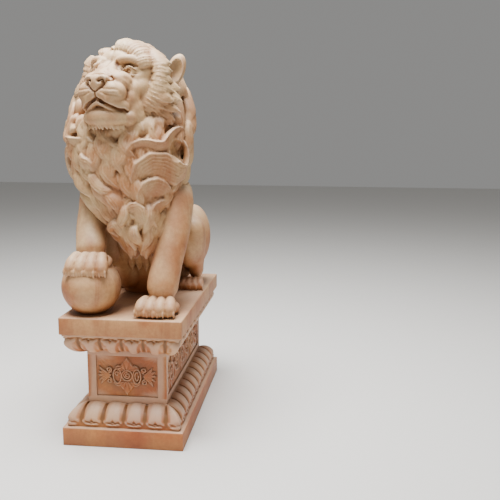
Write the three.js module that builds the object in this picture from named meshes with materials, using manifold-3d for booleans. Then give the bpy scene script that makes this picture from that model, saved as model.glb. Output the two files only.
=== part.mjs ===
// A pair-type garden lion carved in marble: a seated lion, its head turned a little, with one
// forepaw on a ball. Lion, ball and seat slab are one carved block. It stands on a second block,
// a moulded pedestal. Millimetres, +Z up, the lion faces -Y. The origin is the middle of the
// pedestal's underside.
import * as THREE from "three";
import { mergeVertices } from "three/addons/utils/BufferGeometryUtils.js";
import Module from "manifold-3d";

const wasm = await Module();
wasm.setup();

// Driving dimensions of the pedestal.
const slabWidth = 620;
const slabDepth = 1150;
const slabThickness = 88;
const slabEdgeRound = 7;
const baseWidth = 614;
const baseDepth = 1144;
const baseThickness = 94;
const dieWidth = 408;
const lowerMouldingHeight = 106;
const dieHeight = 264;
const upperMouldingHeight = 112;
const mouldingInset = 14;
const mouldingLip = 7;
const panelFrame = 45;
const panelFoot = 30;
const panelHead = 20;
const panelRecess = 9;

// Driving dimensions of the lion.
const lionHeight = 1350;
const ballRadius = 147;
const ballSink = 12;

// Heights and lengths that follow from them.
const overhang = (slabWidth - dieWidth) / 2;
const dieDepth = slabDepth - 2 * overhang;
const dieFoot = baseThickness + lowerMouldingHeight;
const dieHead = dieFoot + dieHeight;
const panelHeight = dieHeight - panelFoot - panelHead;
const slabUnderside = dieHead + upperMouldingHeight;
const slabTop = slabUnderside + slabThickness;

// The lion's own frame: shares of its height, written as millimetres at a height of 1350 above
// the slab. Right is the viewer's right.
const share = lionHeight / 1350;

// Solids

function solid(geometry) {
  const bare = geometry.clone();
  bare.deleteAttribute("normal");
  bare.deleteAttribute("uv");
  const merged = mergeVertices(bare, 1e-4);
  return new wasm.Manifold(
    new wasm.Mesh({
      numProp: 3,
      vertProperties: new Float32Array(merged.attributes.position.array),
      triVerts: new Uint32Array(merged.index.array),
    }),
  );
}

function united(solids) {
  let round = solids;
  while (round.length > 1) {
    const next = [];
    for (let i = 0; i < round.length; i += 2)
      next.push(i + 1 < round.length ? round[i].add(round[i + 1]) : round[i]);
    round = next;
  }
  return round[0];
}

// The triangles of a body's outer shell. A hollow closed in between overlapping locks is dropped,
// so that it counts as filled.
function outerShell(triangles, vertexCount) {
  const parent = Uint32Array.from({ length: vertexCount }, (_, i) => i);
  const rootOf = (i) => {
    while (parent[i] !== i) {
      parent[i] = parent[parent[i]];
      i = parent[i];
    }
    return i;
  };
  for (let i = 0; i < triangles.length; i += 3) {
    parent[rootOf(triangles[i])] = rootOf(triangles[i + 1]);
    parent[rootOf(triangles[i + 1])] = rootOf(triangles[i + 2]);
  }
  const sizes = new Map();
  for (const i of triangles) sizes.set(rootOf(i), (sizes.get(rootOf(i)) ?? 0) + 1);
  const outer = [...sizes].sort((a, b) => b[1] - a[1])[0][0];
  return triangles.filter((_, i) => rootOf(triangles[i - (i % 3)]) === outer);
}

// Closes up edges shorter than a limit, as a carver's last pass would: the two ends of the edge
// meet in its middle where that keeps the surface closed and turns no face over.
function closeShortEdges(places, triangles, shortest) {
  const point = (i) => new THREE.Vector3().fromArray(places, 3 * i);
  const faces = [];
  for (let i = 0; i < triangles.length; i += 3) faces.push([...triangles.subarray(i, i + 3)]);
  const facesAt = Array.from({ length: places.length / 3 }, () => new Set());
  faces.forEach((face, f) => face.forEach((i) => facesAt[i].add(f)));
  const neighbours = (i) => new Set([...facesAt[i]].flatMap((f) => faces[f]).filter((j) => j !== i));
  const normal = (a, b, c) => b.clone().sub(a).cross(c.clone().sub(a));
  const turnsOver = (f, from, to) => {
    const before = faces[f].map(point);
    const after = faces[f].map((i) => (from.includes(i) ? to : point(i)));
    const old = normal(...before);
    const next = normal(...after);
    return next.length() < 4 || (old.length() > 20 && old.dot(next) < 0.3 * old.length() * next.length());
  };
  const edges = [];
  faces.forEach((face) => {
    face.forEach((i, k) => {
      const j = face[(k + 1) % 3];
      const length = point(i).distanceTo(point(j));
      if (i < j && length < shortest) edges.push([length, i, j]);
    });
  });
  edges.sort((a, b) => a[0] - b[0]);
  for (const [, i, j] of edges) {
    const shared = [...facesAt[i]].filter((f) => facesAt[j].has(f));
    if (shared.length !== 2 || point(i).distanceTo(point(j)) > shortest) continue;
    const nextToBoth = [...neighbours(i)].filter((k) => neighbours(j).has(k));
    if (nextToBoth.length !== 2) continue;
    const middle = point(i).lerp(point(j), 0.5);
    const kept = [...facesAt[i], ...facesAt[j]].filter((f) => !shared.includes(f));
    if (kept.some((f) => turnsOver(f, [i, j], middle))) continue;
    for (const f of shared) faces[f].forEach((k) => facesAt[k].delete(f));
    for (const f of facesAt[j]) {
      faces[f] = faces[f].map((k) => (k === j ? i : k));
      facesAt[i].add(f);
    }
    facesAt[j].clear();
    middle.toArray(places, 3 * i);
  }
  return Uint32Array.from(faces.filter((face, f) => facesAt[face[0]].has(f)).flat());
}

function meshOf(name, body, material, shortest = 0) {
  const m = body.getMesh();
  const places = new Float32Array(m.numVert * 3);
  for (let i = 0; i < m.numVert; i++)
    places.set(m.vertProperties.subarray(i * m.numProp, i * m.numProp + 3), i * 3);
  let triangles = outerShell(new Uint32Array(m.triVerts), m.numVert);
  if (shortest) triangles = closeShortEdges(places, triangles, shortest);
  const geometry = new THREE.BufferGeometry();
  geometry.setAttribute("position", new THREE.BufferAttribute(places, 3));
  geometry.setIndex(new THREE.BufferAttribute(triangles, 1));
  const mesh = new THREE.Mesh(mergeVertices(geometry, 1e-4), material);
  mesh.geometry.computeVertexNormals();
  mesh.name = name;
  return mesh;
}

// The value of a list of numbers at t from 0 to 1, joined by straight lines.
function along(list, t) {
  const place = Math.min(Math.max(t, 0), 1) * (list.length - 1);
  const i = Math.min(Math.floor(place), list.length - 2);
  return list[i] + (list[i + 1] - list[i]) * (place - i);
}

// A rounded mass: centre, half sizes and turns about X, Y and Z in degrees.
function mass(centre, radii, turn = [0, 0, 0], detail = 2) {
  const g = new THREE.IcosahedronGeometry(1, detail);
  g.scale(...radii);
  g.rotateX(THREE.MathUtils.degToRad(turn[0]));
  g.rotateY(THREE.MathUtils.degToRad(turn[1]));
  g.rotateZ(THREE.MathUtils.degToRad(turn[2]));
  g.translate(...centre);
  return g;
}

// A closed form swept along a smooth curve, with an elliptical section. Half widths lie across
// the path and half depths lie along the outward direction that outwardAt gives.
function swept(points, widths, depths, outwardAt, sides = 8, rings = 8) {
  const curve = new THREE.CatmullRomCurve3(
    points.map((p) => (p.isVector3 ? p : new THREE.Vector3(...p))),
    false,
    "centripetal",
  );
  const g = new THREE.SphereGeometry(1, sides, rings);
  const at = g.attributes.position;
  const v = new THREE.Vector3();
  for (let i = 0; i < at.count; i++) {
    v.fromBufferAttribute(at, i);
    const t = Math.acos(THREE.MathUtils.clamp(v.y, -1, 1)) / Math.PI;
    const radius = Math.hypot(v.x, v.z);
    const onEnd = radius < 1e-6;
    const across = onEnd ? 0 : v.x / radius;
    const out = onEnd ? 0 : v.z / radius;
    const place = curve.getPoint(t);
    const tangent = curve.getTangent(t);
    const outward = outwardAt(t, place).clone();
    outward.addScaledVector(tangent, -outward.dot(tangent)).normalize();
    const side = outward.clone().cross(tangent);
    place.addScaledVector(side, across * along(widths, t));
    place.addScaledVector(outward, out * along(depths, t));
    at.setXYZ(i, place.x, place.y, place.z);
  }
  return g;
}

const towards = (x, y, z) => {
  const v = new THREE.Vector3(x, y, z).normalize();
  return () => v;
};

// The mane: a stack of ellipses that locks are laid on

const maneRings = [
  { z: 330, x: 60, y: -375, a: 35, b: 35 },
  { z: 400, x: 50, y: -345, a: 90, b: 80 },
  { z: 500, x: 25, y: -290, a: 160, b: 140 },
  { z: 600, x: 0, y: -245, a: 218, b: 190 },
  { z: 700, x: -20, y: -225, a: 262, b: 222 },
  { z: 800, x: -22, y: -215, a: 282, b: 238 },
  { z: 900, x: -28, y: -198, a: 292, b: 236 },
  { z: 1000, x: -26, y: -170, a: 286, b: 224 },
  { z: 1100, x: -24, y: -144, a: 252, b: 202 },
  { z: 1200, x: -20, y: -130, a: 206, b: 172 },
  { z: 1290, x: -8, y: -145, a: 132, b: 120 },
];

function maneRing(z) {
  const last = maneRings.length - 1;
  let i = 0;
  while (i < last - 1 && maneRings[i + 1].z < z) i++;
  const low = maneRings[i];
  const high = maneRings[i + 1];
  const t = THREE.MathUtils.clamp((z - low.z) / (high.z - low.z), 0, 1);
  const mix = (key) => low[key] + (high[key] - low[key]) * t;
  return { x: mix("x"), y: mix("y"), a: mix("a"), b: mix("b") };
}

// A place on the mane: the bearing is in degrees, 0 in front and 90 on the viewer's right.
function onMane(bearing, z, lift = 0) {
  const r = maneRing(z);
  const turn = THREE.MathUtils.degToRad(bearing);
  return new THREE.Vector3(
    r.x + (r.a + lift) * Math.sin(turn),
    r.y - (r.b + lift) * Math.cos(turn),
    z,
  );
}

function outOfMane(t, place) {
  const r = maneRing(place.z);
  return new THREE.Vector3((place.x - r.x) / r.a, (place.y - r.y) / r.b, 0.15).normalize();
}

function maneBody() {
  const rows = maneRings.length + 1;
  const g = new THREE.SphereGeometry(1, 14, rows);
  const at = g.attributes.position;
  for (let i = 0; i < at.count; i++) {
    const polar = Math.acos(THREE.MathUtils.clamp(at.getY(i), -1, 1));
    const row = Math.round((polar / Math.PI) * rows);
    const onEnd = row === 0 || row === rows;
    const r = maneRings[THREE.MathUtils.clamp(maneRings.length - row, 0, maneRings.length - 1)];
    const radius = Math.hypot(at.getX(i), at.getZ(i));
    const tip = row === 0 ? 40 : row === rows ? -20 : 0;
    at.setXYZ(
      i,
      r.x + (onEnd ? 0 : (r.a * at.getX(i)) / radius),
      r.y - (onEnd ? 0 : (r.b * at.getZ(i)) / radius),
      r.z + tip,
    );
  }
  return g;
}

// A lock of the mane follows a list of bearings and heights. It rises to its full lift in the
// middle and sinks back at both ends.
function lock(path, { width = 80, depth = 56, lift = 14, sides = 4, rings = 5, tip = 0.3 } = {}) {
  const last = path.length - 1;
  const points = path.map(([bearing, z], i) =>
    onMane(bearing, z, lift * (0.25 + 0.75 * Math.sin((Math.PI * Math.min(i + 0.5, last)) / (last + 0.6)))),
  );
  const widths = [0.5, 0.9, 1, 0.95, 0.75, tip].map((w) => (w * width) / 2);
  const depths = [0.6, 0.95, 1, 0.95, 0.75, 0.4].map((d) => (d * depth) / 2);
  return swept(points, widths, depths, outOfMane, sides, rings);
}

// Rows of hanging locks round the sides and the back, each row shifted by half a lock.
const lockRows = [
  { z: 1190, edge: 48, count: 7, drop: 170, width: 130 },
  { z: 1060, edge: 42, count: 9, drop: 180, width: 132 },
  { z: 925, edge: 52, count: 8, drop: 190, width: 136 },
  { z: 770, edge: 84, count: 6, drop: 180, width: 130 },
];

function rowsOfLocks() {
  return lockRows.flatMap((row, r) =>
    Array.from({ length: row.count }, (_, i) => {
      const place = (i + (r % 2 ? 0.7 : 0.3)) / row.count;
      const bearing = row.edge + (360 - 2 * row.edge) * place;
      const sway = i % 2 ? 6 : -6;
      return lock(
        [[bearing, row.z], [bearing + sway, row.z - row.drop * 0.35],
          [bearing + sway * 0.6, row.z - row.drop * 0.7], [bearing - sway * 0.8, row.z - row.drop]],
        { width: row.width, depth: 66, rings: 4 },
      );
    }),
  );
}

// The chest: S-shaped locks that fall and cross between the shoulders, and the great rolled
// curls that sweep out to each shoulder.
function chestLocks() {
  const band = { depth: 66, lift: 34, sides: 5, rings: 7, tip: 0.5 };
  const curls = [
    lock([[16, 610], [22, 700], [31, 748], [44, 728], [57, 700], [69, 725], [72, 790], [66, 850],
      [56, 872], [49, 842]], { ...band, width: 92 }),
    lock([[8, 790], [20, 832], [35, 880], [50, 915], [63, 895], [70, 835]], { ...band, width: 62 }),
    lock([[25, 505], [20, 590], [31, 652], [46, 615], [62, 600], [82, 650]], { ...band, width: 74 }),
    lock([[30, 500], [38, 555], [49, 507], [51, 448], [44, 385]], { ...band, width: 64, lift: 20 }),
    lock([[-10, 900], [-22, 855], [-34, 812], [-47, 806], [-61, 788], [-69, 745], [-62, 708],
      [-50, 716]], { ...band, width: 84, lift: 44 }),
    lock([[-27, 790], [-29, 720], [-42, 650], [-56, 610], [-70, 640]], { ...band, width: 84 }),
    lock([[-36, 650], [-46, 590], [-60, 520], [-66, 450]], { ...band, width: 74, lift: 20 }),
  ];
  const fall = { width: 70, depth: 54, lift: 20, rings: 6, tip: 0.3 };
  const falls = [
    [[-15, 850], [-17, 746], [-24, 678], [-18, 630], [-17, 567], [-30, 500]],
    [[-14, 640], [-9, 568], [-19, 499], [-42, 440]],
    [[-55, 500], [-47, 440], [-30, 390], [-5, 350]],
    [[0, 560], [-3, 495], [5, 442], [24, 405], [38, 350]],
    [[-17, 520], [-13, 440], [-6, 375], [16, 325]],
    [[24, 840], [15, 765], [16, 700], [22, 650]],
    [[10, 640], [12, 580], [6, 520], [20, 460]],
  ].map((path) => lock(path, fall));
  const tufts = [0, 1, 2].flatMap((i) => [
    lock([[-10 + 10 * i, 860], [-6 + 9 * i, 780], [-4 + 8 * i, 700]], { ...fall, rings: 4, width: 62 }),
    lock([[-9 + 9 * i, 730], [-7 + 8 * i, 680], [-6 + 7 * i, 622]], { ...fall, rings: 4, width: 54 }),
  ]);
  return [...curls, ...falls, ...tufts];
}

// The head, in its own frame: its middle lies between the ears, and it faces -Y

const headPlace = new THREE.Matrix4()
  .makeTranslation(-20, -300, 1130)
  .multiply(new THREE.Matrix4().makeRotationZ(THREE.MathUtils.degToRad(-15.5)))
  .multiply(new THREE.Matrix4().makeRotationX(THREE.MathUtils.degToRad(-11)))
  .multiply(new THREE.Matrix4().makeScale(0.97, 0.97, 0.97));

const bothSides = (make) => [make(-1), make(1)];

function face() {
  return [
    mass([0, 10, 40], [150, 152, 146], [-20, 0, 0], 1),
    // The bridge, the nose, the muzzle with its lips, the jaw and the chin.
    swept([[0, -66, 84], [0, -138, 28], [0, -190, -14], [0, -238, -44]], [84, 72, 64, 62, 56],
      [40, 38, 36, 31, 22], towards(0, -0.3, 1), 8, 5),
    mass([0, -252, -62], [46, 24, 38], [-12, 0, 0], 1),
    mass([0, -168, -100], [90, 92, 72], [0, 0, 0], 1),
    mass([0, -120, -200], [100, 96, 66], [0, 0, 0], 1),
    swept([[-110, -104, -202], [-70, -166, -208], [0, -186, -211], [70, -166, -208], [110, -104, -202]],
      [28, 42, 50, 42, 28], [30, 34, 38, 34, 30], towards(0, -1, 0), 8, 5),
    ...bothSides((s) => mass([s * 62, -198, -98], [64, 64, 58], [0, 0, 0], 1)),
    ...bothSides((s) =>
      swept([[s * 24, -228, -122], [s * 62, -200, -140], [s * 92, -166, -154], [s * 112, -122, -168]],
        [30, 38, 36, 22], [34, 40, 36, 24], towards(0, -1, -0.2), 6, 5),
    ),
    ...bothSides((s) => mass([s * 92, -92, -60], [84, 80, 92], [0, 0, 0], 1)),
    ...bothSides((s) => mass([s * 96, -84, -150], [76, 76, 92], [0, 0, 0], 1)),
    // Eyes, brows and ears.
    ...bothSides((s) => mass([s * 97, -104, 24], [30, 28, 24], [0, 0, 0], 1)),
    ...bothSides((s) =>
      swept([[s * 22, -124, 56], [s * 52, -138, 76], [s * 98, -124, 84], [s * 148, -76, 60]],
        [20, 24, 25, 18], [22, 24, 24, 16], towards(0, -1, 0.5), 6, 5),
    ),
    ...bothSides((s) => mass([s * 240, 78, 84], [50, 31, 92], [6, s * 16, s * 24], 1)),
  ];
}

// The ruff: pointed locks that spring from the edge of the face. The angle is 0 above the face
// and runs down both sides; reach is the distance of the tip from the middle of the head.
function ruffLock(angle, reach, back, { root = 170, rootBack = -52, width = 52, depth = 44 } = {}) {
  const turn = THREE.MathUtils.degToRad(angle);
  const place = (radius, y, drop = 0) =>
    new THREE.Vector3(radius * Math.sin(turn), y, radius * Math.cos(turn) - drop);
  const points = [
    place(root - 30, rootBack - 2),
    place(root + (reach - root) * 0.3, rootBack - 4 + (back - rootBack) * 0.12),
    place(root + (reach - root) * 0.7, rootBack + (back - rootBack) * 0.5, 3),
    place(reach, back, 10 * Math.abs(Math.sin(turn))),
  ];
  const out = (t) =>
    new THREE.Vector3(Math.sin(turn) * (0.2 + t), -1, Math.cos(turn) * (0.2 + t)).normalize();
  return swept(points, [0.6, 0.95, 1, 0.75, 0.3].map((w) => (w * width) / 2),
    [0.7, 1, 1, 0.8, 0.4].map((d) => (d * depth) / 2), out, 4, 4);
}

function ruff() {
  const upper = [[-44, 204], [-14, 248], [14, 236], [42, 238]].map(([angle, reach]) =>
    ruffLock(angle, reach, 20, { root: 124, rootBack: -70, width: 106, depth: 64 }),
  );
  const sides = [[63, 262, 40], [82, 258, 36], [101, 300, 36], [119, 296, 10]];
  const right = sides.map(([angle, reach, back]) => ruffLock(angle, reach, back, { width: 84 }));
  const left = sides.map(([angle, reach, back]) =>
    ruffLock(-angle, reach + 24, back - 18, { width: 84 }),
  );
  const cheeks = bothSides((s) =>
    ruffLock(s * 132, 222, -40, { root: 130, rootBack: -84, width: 64, depth: 44 }),
  );
  const bib = [[106, 350, 392], [124, 344, 392], [142, 316, 340], [159, 288, 290]].flatMap(
    ([angle, reachRight, reachLeft], i) =>
      bothSides((s) =>
        ruffLock(s * angle, s > 0 ? reachRight : reachLeft, (s > 0 ? 66 : 44) - 16 * i,
          { root: 190, rootBack: 14 - 24 * i, width: 98, depth: 62 }),
      ),
  );
  return [...upper, ...right, ...left, ...cheeks, ...bib];
}

function beard() {
  return [-1, 0, 1].map((i) =>
    swept([[i * 44, -155, -205], [i * 50, -176, -240], [i * 54, -170, -272]], [24, 32, 26, 10],
      [18, 20, 16, 8], towards(0, -1, 0), 4, 4),
  );
}

function head() {
  return [...face(), ...ruff(), ...beard()].map((g) => g.applyMatrix4(headPlace));
}

// Legs, paws and the body

// A paw: the rounded back of the foot and four toes. Each toe follows an arch given as shares of
// the reach ahead and heights above the paw's middle.
function paw(centre, halfWidth, reach, arch, fan = 0) {
  const [x, y, z] = centre;
  const pitch = (halfWidth * 2) / 4;
  const toes = [-1.5, -0.5, 0.5, 1.5].map((i) => {
    const ahead = reach * (1 - 0.07 * Math.abs(i) - 0.02 * i);
    return swept(
      arch.map(([share, up]) => [x + i * pitch * (0.82 + (0.14 + fan) * share), y - ahead * share, z + up]),
      [0.5, 0.56, 0.58, 0.54, 0.4].map((w) => w * pitch),
      [0.5, 0.54, 0.56, 0.5, 0.36].map((d) => d * pitch),
      towards(0, -0.5, 1),
      4,
      5,
    );
  });
  return toes;
}

const standing = [[0, 8], [0.35, 28], [0.68, 26], [0.9, -2], [1, -34]];

function foreLegs() {
  return [
    // The viewer's right: the leg stands on the slab.
    swept([[215, -190, 640], [220, -262, 520], [221, -328, 395], [202, -382, 270], [183, -422, 150],
      [174, -440, 40]], [92, 88, 82, 78, 77, 80, 86], [120, 114, 96, 80, 68, 66, 62], towards(0, -1, 0.2), 8, 7),
    mass([200, -205, 560], [96, 128, 130], [0, 0, 0], 1),
    mass([166, -432, 34], [104, 88, 50], [0, 0, 0], 1),
    ...paw([166, -438, 46], 114, 112, standing),
    // The viewer's left: the paw lies on the ball, its toes over the front.
    swept([[-200, -195, 640], [-206, -270, 520], [-212, -345, 400], [-198, -400, 325], [-182, -440, 262]],
      [90, 84, 72, 62, 70, 84], [118, 108, 84, 66, 60, 54], towards(0, -1, 0.2), 8, 7),
    mass([-196, -210, 560], [92, 124, 124], [0, 0, 0], 1),
    mass([-170, -452, 262], [108, 80, 42], [10, 0, 0], 1),
    ...paw([-168, -455, 250], 114, 112, [[0, 22], [0.35, 40], [0.66, 24], [0.9, -14], [1, -44]], 0.06),
  ];
}

function hindLegs() {
  return bothSides((s) => [
    mass([s * 205, 240, 295], [110, 208, 192], [18, 0, 0], 2),
    swept([[s * 232, 130, 440], [s * 242, 108, 360], [s * 246, 150, 230], [s * 236, 205, 110], [s * 230, 210, 40]],
      [50, 66, 62, 52, 46, 52], [50, 76, 74, 58, 52, 56], towards(0, -1, 0), 7, 6),
    ...paw([s * 228, 165, 36], 74, 92, [[0, 2], [0.35, 16], [0.68, 14], [0.9, -6], [1, -28]]),
  ]).flat();
}

function torso() {
  return [
    swept([[0, -190, 660], [0, -50, 590], [0, 130, 450], [0, 320, 280], [0, 430, 130]],
      [170, 215, 228, 226, 205, 120], [180, 225, 235, 220, 185, 110], towards(0, -0.5, 1), 12, 7),
    mass([0, 300, 120], [215, 180, 130], [0, 0, 0], 1),
    // The belly runs down to the slab between the legs.
    swept([[10, -200, 520], [0, -110, 400], [-10, -20, 240], [-10, 70, 40], [-10, 110, -60]],
      [130, 160, 165, 165, 160], [120, 130, 130, 120, 90], towards(0, -1, -0.4), 8, 6),
  ];
}

// The tail lies on the slab, round the viewer's left haunch, and ends in a tuft.
function tail() {
  return [
    swept([[20, 440, 150], [-60, 505, 70], [-170, 500, 40], [-252, 400, 34], [-272, 250, 34],
      [-274, 130, 36]], [50, 40, 35, 32, 30, 30], [50, 40, 35, 34, 32, 30], towards(0, 0, 1), 6, 7),
    swept([[-274, 160, 38], [-270, 70, 40], [-262, -20, 36], [-252, -70, 26]],
      [22, 38, 42, 28, 10], [24, 38, 40, 30, 10], towards(0, 0, 1), 6, 4),
  ];
}

function lionBlock() {
  const carved = [
    maneBody(),
    ...rowsOfLocks(),
    ...chestLocks(),
    ...head(),
    ...torso(),
    ...foreLegs(),
    ...hindLegs(),
    ...tail(),
  ];
  carved.forEach((g) => g.scale(share, share, share));
  const ball = new THREE.SphereGeometry(ballRadius, 16, 10);
  ball.rotateX(Math.PI / 2);
  ball.translate(-178 * share, -440 * share, ballRadius - ballSink);
  carved.push(ball);
  carved.forEach((g) => g.translate(0, 0, slabTop));
  const slab = blockStack([
    [slabWidth / 2 - slabEdgeRound, slabUnderside],
    [slabWidth / 2, slabUnderside + slabEdgeRound],
    [slabWidth / 2, slabTop - slabEdgeRound],
    [slabWidth / 2 - slabEdgeRound, slabTop],
  ]);
  // Feet and ball that reach below the slab's top are cut off inside the slab.
  const under = new THREE.BoxGeometry(2 * slabDepth, 2 * slabDepth, slabTop);
  under.translate(0, 0, slabTop / 2 - 10);
  const figure = united(carved.map(solid)).subtract(solid(under));
  return figure.add(slab);
}

// The pedestal

// A stack of rectangles with one profile on all four sides: half widths and heights from the
// bottom up. The depth is longer than the width by what the slab's is.
function blockStack(profile) {
  const longer = (slabDepth - slabWidth) / 2;
  const points = [
    [0, profile[0][1]],
    ...profile,
    [0, profile[profile.length - 1][1]],
  ].map(([half, z]) => new THREE.Vector2(half * Math.SQRT2, z));
  const g = new THREE.LatheGeometry(points, 4);
  g.rotateY(Math.PI / 4);
  g.rotateX(Math.PI / 2);
  const at = g.attributes.position;
  for (let i = 0; i < at.count; i++) {
    const y = at.getY(i);
    const onAxis = Math.abs(y) < 1e-6;
    at.setY(i, onAxis ? 0 : y + Math.sign(y) * longer);
  }
  return solid(g);
}

// A carved moulding round the die: tongues side by side, with a groove between each two and one
// tongue that fans out round each corner. It curves from the die out to the rim in a quarter round.
const tonguePitch = 100;
const grooveDepth = 13;
const mouldingRows = 3;

// The columns of one side: how far along the side each one stands, whether it is on a tongue or
// in a groove, and how far it leans out with the corner.
function sideColumns(halfBody) {
  const count = 2 * Math.round(halfBody / tonguePitch);
  const columns = [{ at: -halfBody, lean: 0.4, on: 1 }];
  for (let i = 0; i < count; i++) {
    const start = (i - count / 2) * tonguePitch;
    columns.push({ at: start, lean: 0, on: 0 });
    columns.push({ at: start + 0.25 * tonguePitch, lean: 0, on: 1 });
    columns.push({ at: start + 0.75 * tonguePitch, lean: 0, on: 1 });
  }
  columns.push({ at: (count / 2) * tonguePitch, lean: 0, on: 0 });
  columns.push({ at: halfBody, lean: 0.4, on: 1 });
  columns.push({ at: halfBody, lean: 1, on: 1 });
  return columns;
}

function carvedMoulding(reach, zBody, zRim) {
  const halfX = dieWidth / 2;
  const halfY = dieDepth / 2;
  const columns = [0, 1, 2, 3].flatMap((side) =>
    sideColumns(side % 2 ? halfY : halfX).map((column) => ({ ...column, side })),
  );
  const g = new THREE.CylinderGeometry(1, 1, 2, columns.length, mouldingRows);
  const at = g.attributes.position;
  for (let i = 0; i < at.count; i++) {
    const up = (zRim > zBody ? 1 + at.getY(i) : 1 - at.getY(i)) / 2;
    const turn = (Math.PI / 2) * up;
    const z = zBody + (zRim - zBody) * (1 - Math.cos(turn));
    const onAxis = Math.hypot(at.getX(i), at.getZ(i)) < 1e-6;
    if (onAxis) {
      at.setXYZ(i, 0, 0, z);
      continue;
    }
    const around = Math.atan2(at.getX(i), at.getZ(i)) / (2 * Math.PI);
    const k = Math.round((around < 0 ? around + 1 : around) * columns.length) % columns.length;
    const { at: place, lean, on, side } = columns[k];
    const out = reach * Math.sin(turn);
    const groove = (on ? 0 : grooveDepth) * Math.sin(Math.PI * Math.min(1, 0.15 + up * 0.85));
    const fromDie = out - groove;
    const across = place + Math.sign(place) * lean * out;
    const halfBody = side % 2 ? halfX : halfY;
    const v = new THREE.Vector3(across, -(halfBody + fromDie), z);
    v.applyAxisAngle(new THREE.Vector3(0, 0, 1), (side * Math.PI) / 2);
    at.setXYZ(i, v.x, v.y, v.z);
  }
  return g;
}

// The carved panel: a lozenge of shell leaves with three roundels, between scrolls and leaf
// sprays. Shapes are drawn in the panel's plane and extruded to the relief's height.
const cartoucheHeight = 204;
const reliefHeight = 5;

function disc(x, z, radius, raise = 0, segments = 4) {
  const shape = new THREE.Shape();
  shape.absarc(x, z, radius, 0, 2 * Math.PI, false);
  return { shape, segments, raise };
}

function leafShape(x, z, angle, length, width) {
  const turn = THREE.MathUtils.degToRad(angle);
  const at = (a, b) => [
    x + a * Math.cos(turn) - b * Math.sin(turn),
    z + a * Math.sin(turn) + b * Math.cos(turn),
  ];
  const shape = new THREE.Shape();
  shape.moveTo(...at(0, 0));
  shape.quadraticCurveTo(...at(length * 0.5, width), ...at(length, 0));
  shape.quadraticCurveTo(...at(length * 0.5, -width), ...at(0, 0));
  return { shape, segments: 2, raise: 3 };
}

function lozenge(half, scallops) {
  const shape = new THREE.Shape();
  const steps = scallops * 8;
  for (let i = 0; i < steps; i++) {
    const turn = (2 * Math.PI * i) / steps;
    const lobe = i % 2 ? 1.04 : 0.96;
    const r = (half * lobe) / (Math.abs(Math.sin(turn)) + Math.abs(Math.cos(turn)) * 1.15);
    const at = [r * Math.cos(turn), r * Math.sin(turn)];
    if (i) shape.lineTo(...at);
    else shape.moveTo(...at);
  }
  return { shape, segments: 1, raise: 0 };
}

function cartouche(sprays) {
  const h = cartoucheHeight / 2;
  const pieces = [lozenge(h, 2), disc(0, 2, h * 0.27, 6)];
  for (const s of [-1, 1]) {
    pieces.push(disc(s * h * 0.5, 2, h * 0.22, 6));
    for (let k = 0; k < sprays; k++) {
      const out = s * h * (0.98 + 0.95 * k);
      const heading = s > 0 ? 0 : 180;
      pieces.push(disc(out, h * 0.28, h * 0.15, 4, 3), disc(out, -h * 0.28, h * 0.15, 4, 3));
      for (const turn of [-36, 0, 36])
        pieces.push(leafShape(s * h * (0.84 + 0.95 * k), 0, heading + turn, h * 0.74, h * 0.42));
    }
  }
  return pieces;
}

function panelRelief(halfBody, turn, sprays) {
  return cartouche(sprays).map(({ shape, segments, raise }) => {
    const g = new THREE.ExtrudeGeometry(shape, {
      depth: reliefHeight + raise + 4,
      bevelEnabled: false,
      curveSegments: segments,
    });
    g.rotateX(Math.PI / 2);
    g.translate(0, -(halfBody - panelRecess) + 4, dieFoot + panelFoot + panelHeight / 2);
    g.rotateZ(turn);
    return g;
  });
}

function pedestalBlock() {
  const body = blockStack([
    [baseWidth / 2 - 4, 0],
    [baseWidth / 2, 4],
    [baseWidth / 2, baseThickness - 4],
    [baseWidth / 2 - 4, baseThickness],
    [dieWidth / 2, baseThickness],
    [dieWidth / 2, slabUnderside - mouldingLip],
    [slabWidth / 2 - mouldingInset, slabUnderside - mouldingLip],
    [slabWidth / 2 - mouldingInset, slabUnderside],
  ]);
  const cuts = [0, 1, 2, 3].map((side) => {
    const [width, halfBody] = side % 2 ? [dieDepth, dieWidth / 2] : [dieWidth, dieDepth / 2];
    const g = new THREE.BoxGeometry(width - 2 * panelFrame, 2 * panelRecess, panelHeight);
    g.translate(0, -halfBody, dieFoot + panelFoot + panelHeight / 2);
    return g.rotateZ((side * Math.PI) / 2);
  });
  const reliefs = [0, 1, 2, 3].flatMap((side) =>
    side % 2
      ? panelRelief(dieWidth / 2, (side * Math.PI) / 2, 2)
      : panelRelief(dieDepth / 2, (side * Math.PI) / 2, 1),
  );
  const reach = overhang - mouldingInset;
  return united([
    body.subtract(united(cuts.map(solid))),
    ...reliefs.map(solid),
    solid(carvedMoulding(reach, dieFoot, baseThickness - 1)),
    solid(carvedMoulding(reach, dieHead, slabUnderside - mouldingLip + 1)),
  ]);
}

const marble = () => new THREE.MeshStandardMaterial({ color: 0xcdb096, roughness: 0.55, metalness: 0 });

const statue = new THREE.Group();
statue.add(meshOf("pedestal", pedestalBlock(), marble(), 4));
statue.add(meshOf("lion_with_ball_and_slab", lionBlock(), marble(), 20));

export default statue;
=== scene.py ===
# %% [markdown]
# A garden lion carved in marble, seated on a moulded pedestal.
# The imported solids give the place and the size of every piece. This lesson gives them the carving
# that a photograph shows: hair in strands, a face, paws with tufts of hair, leaf mouldings and
# panels in low relief, and a marble that is veined, worn on its ridges and dirty in its hollows.
# Light and shade are painted into its colour as well: paler on top and on what faces up, darker low down, in
# its deep folds and where it is sheltered.

# %% Load the frame
import math

import bpy
import numpy as np
from mathutils import Matrix, Vector
from mathutils.kdtree import KDTree


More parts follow.
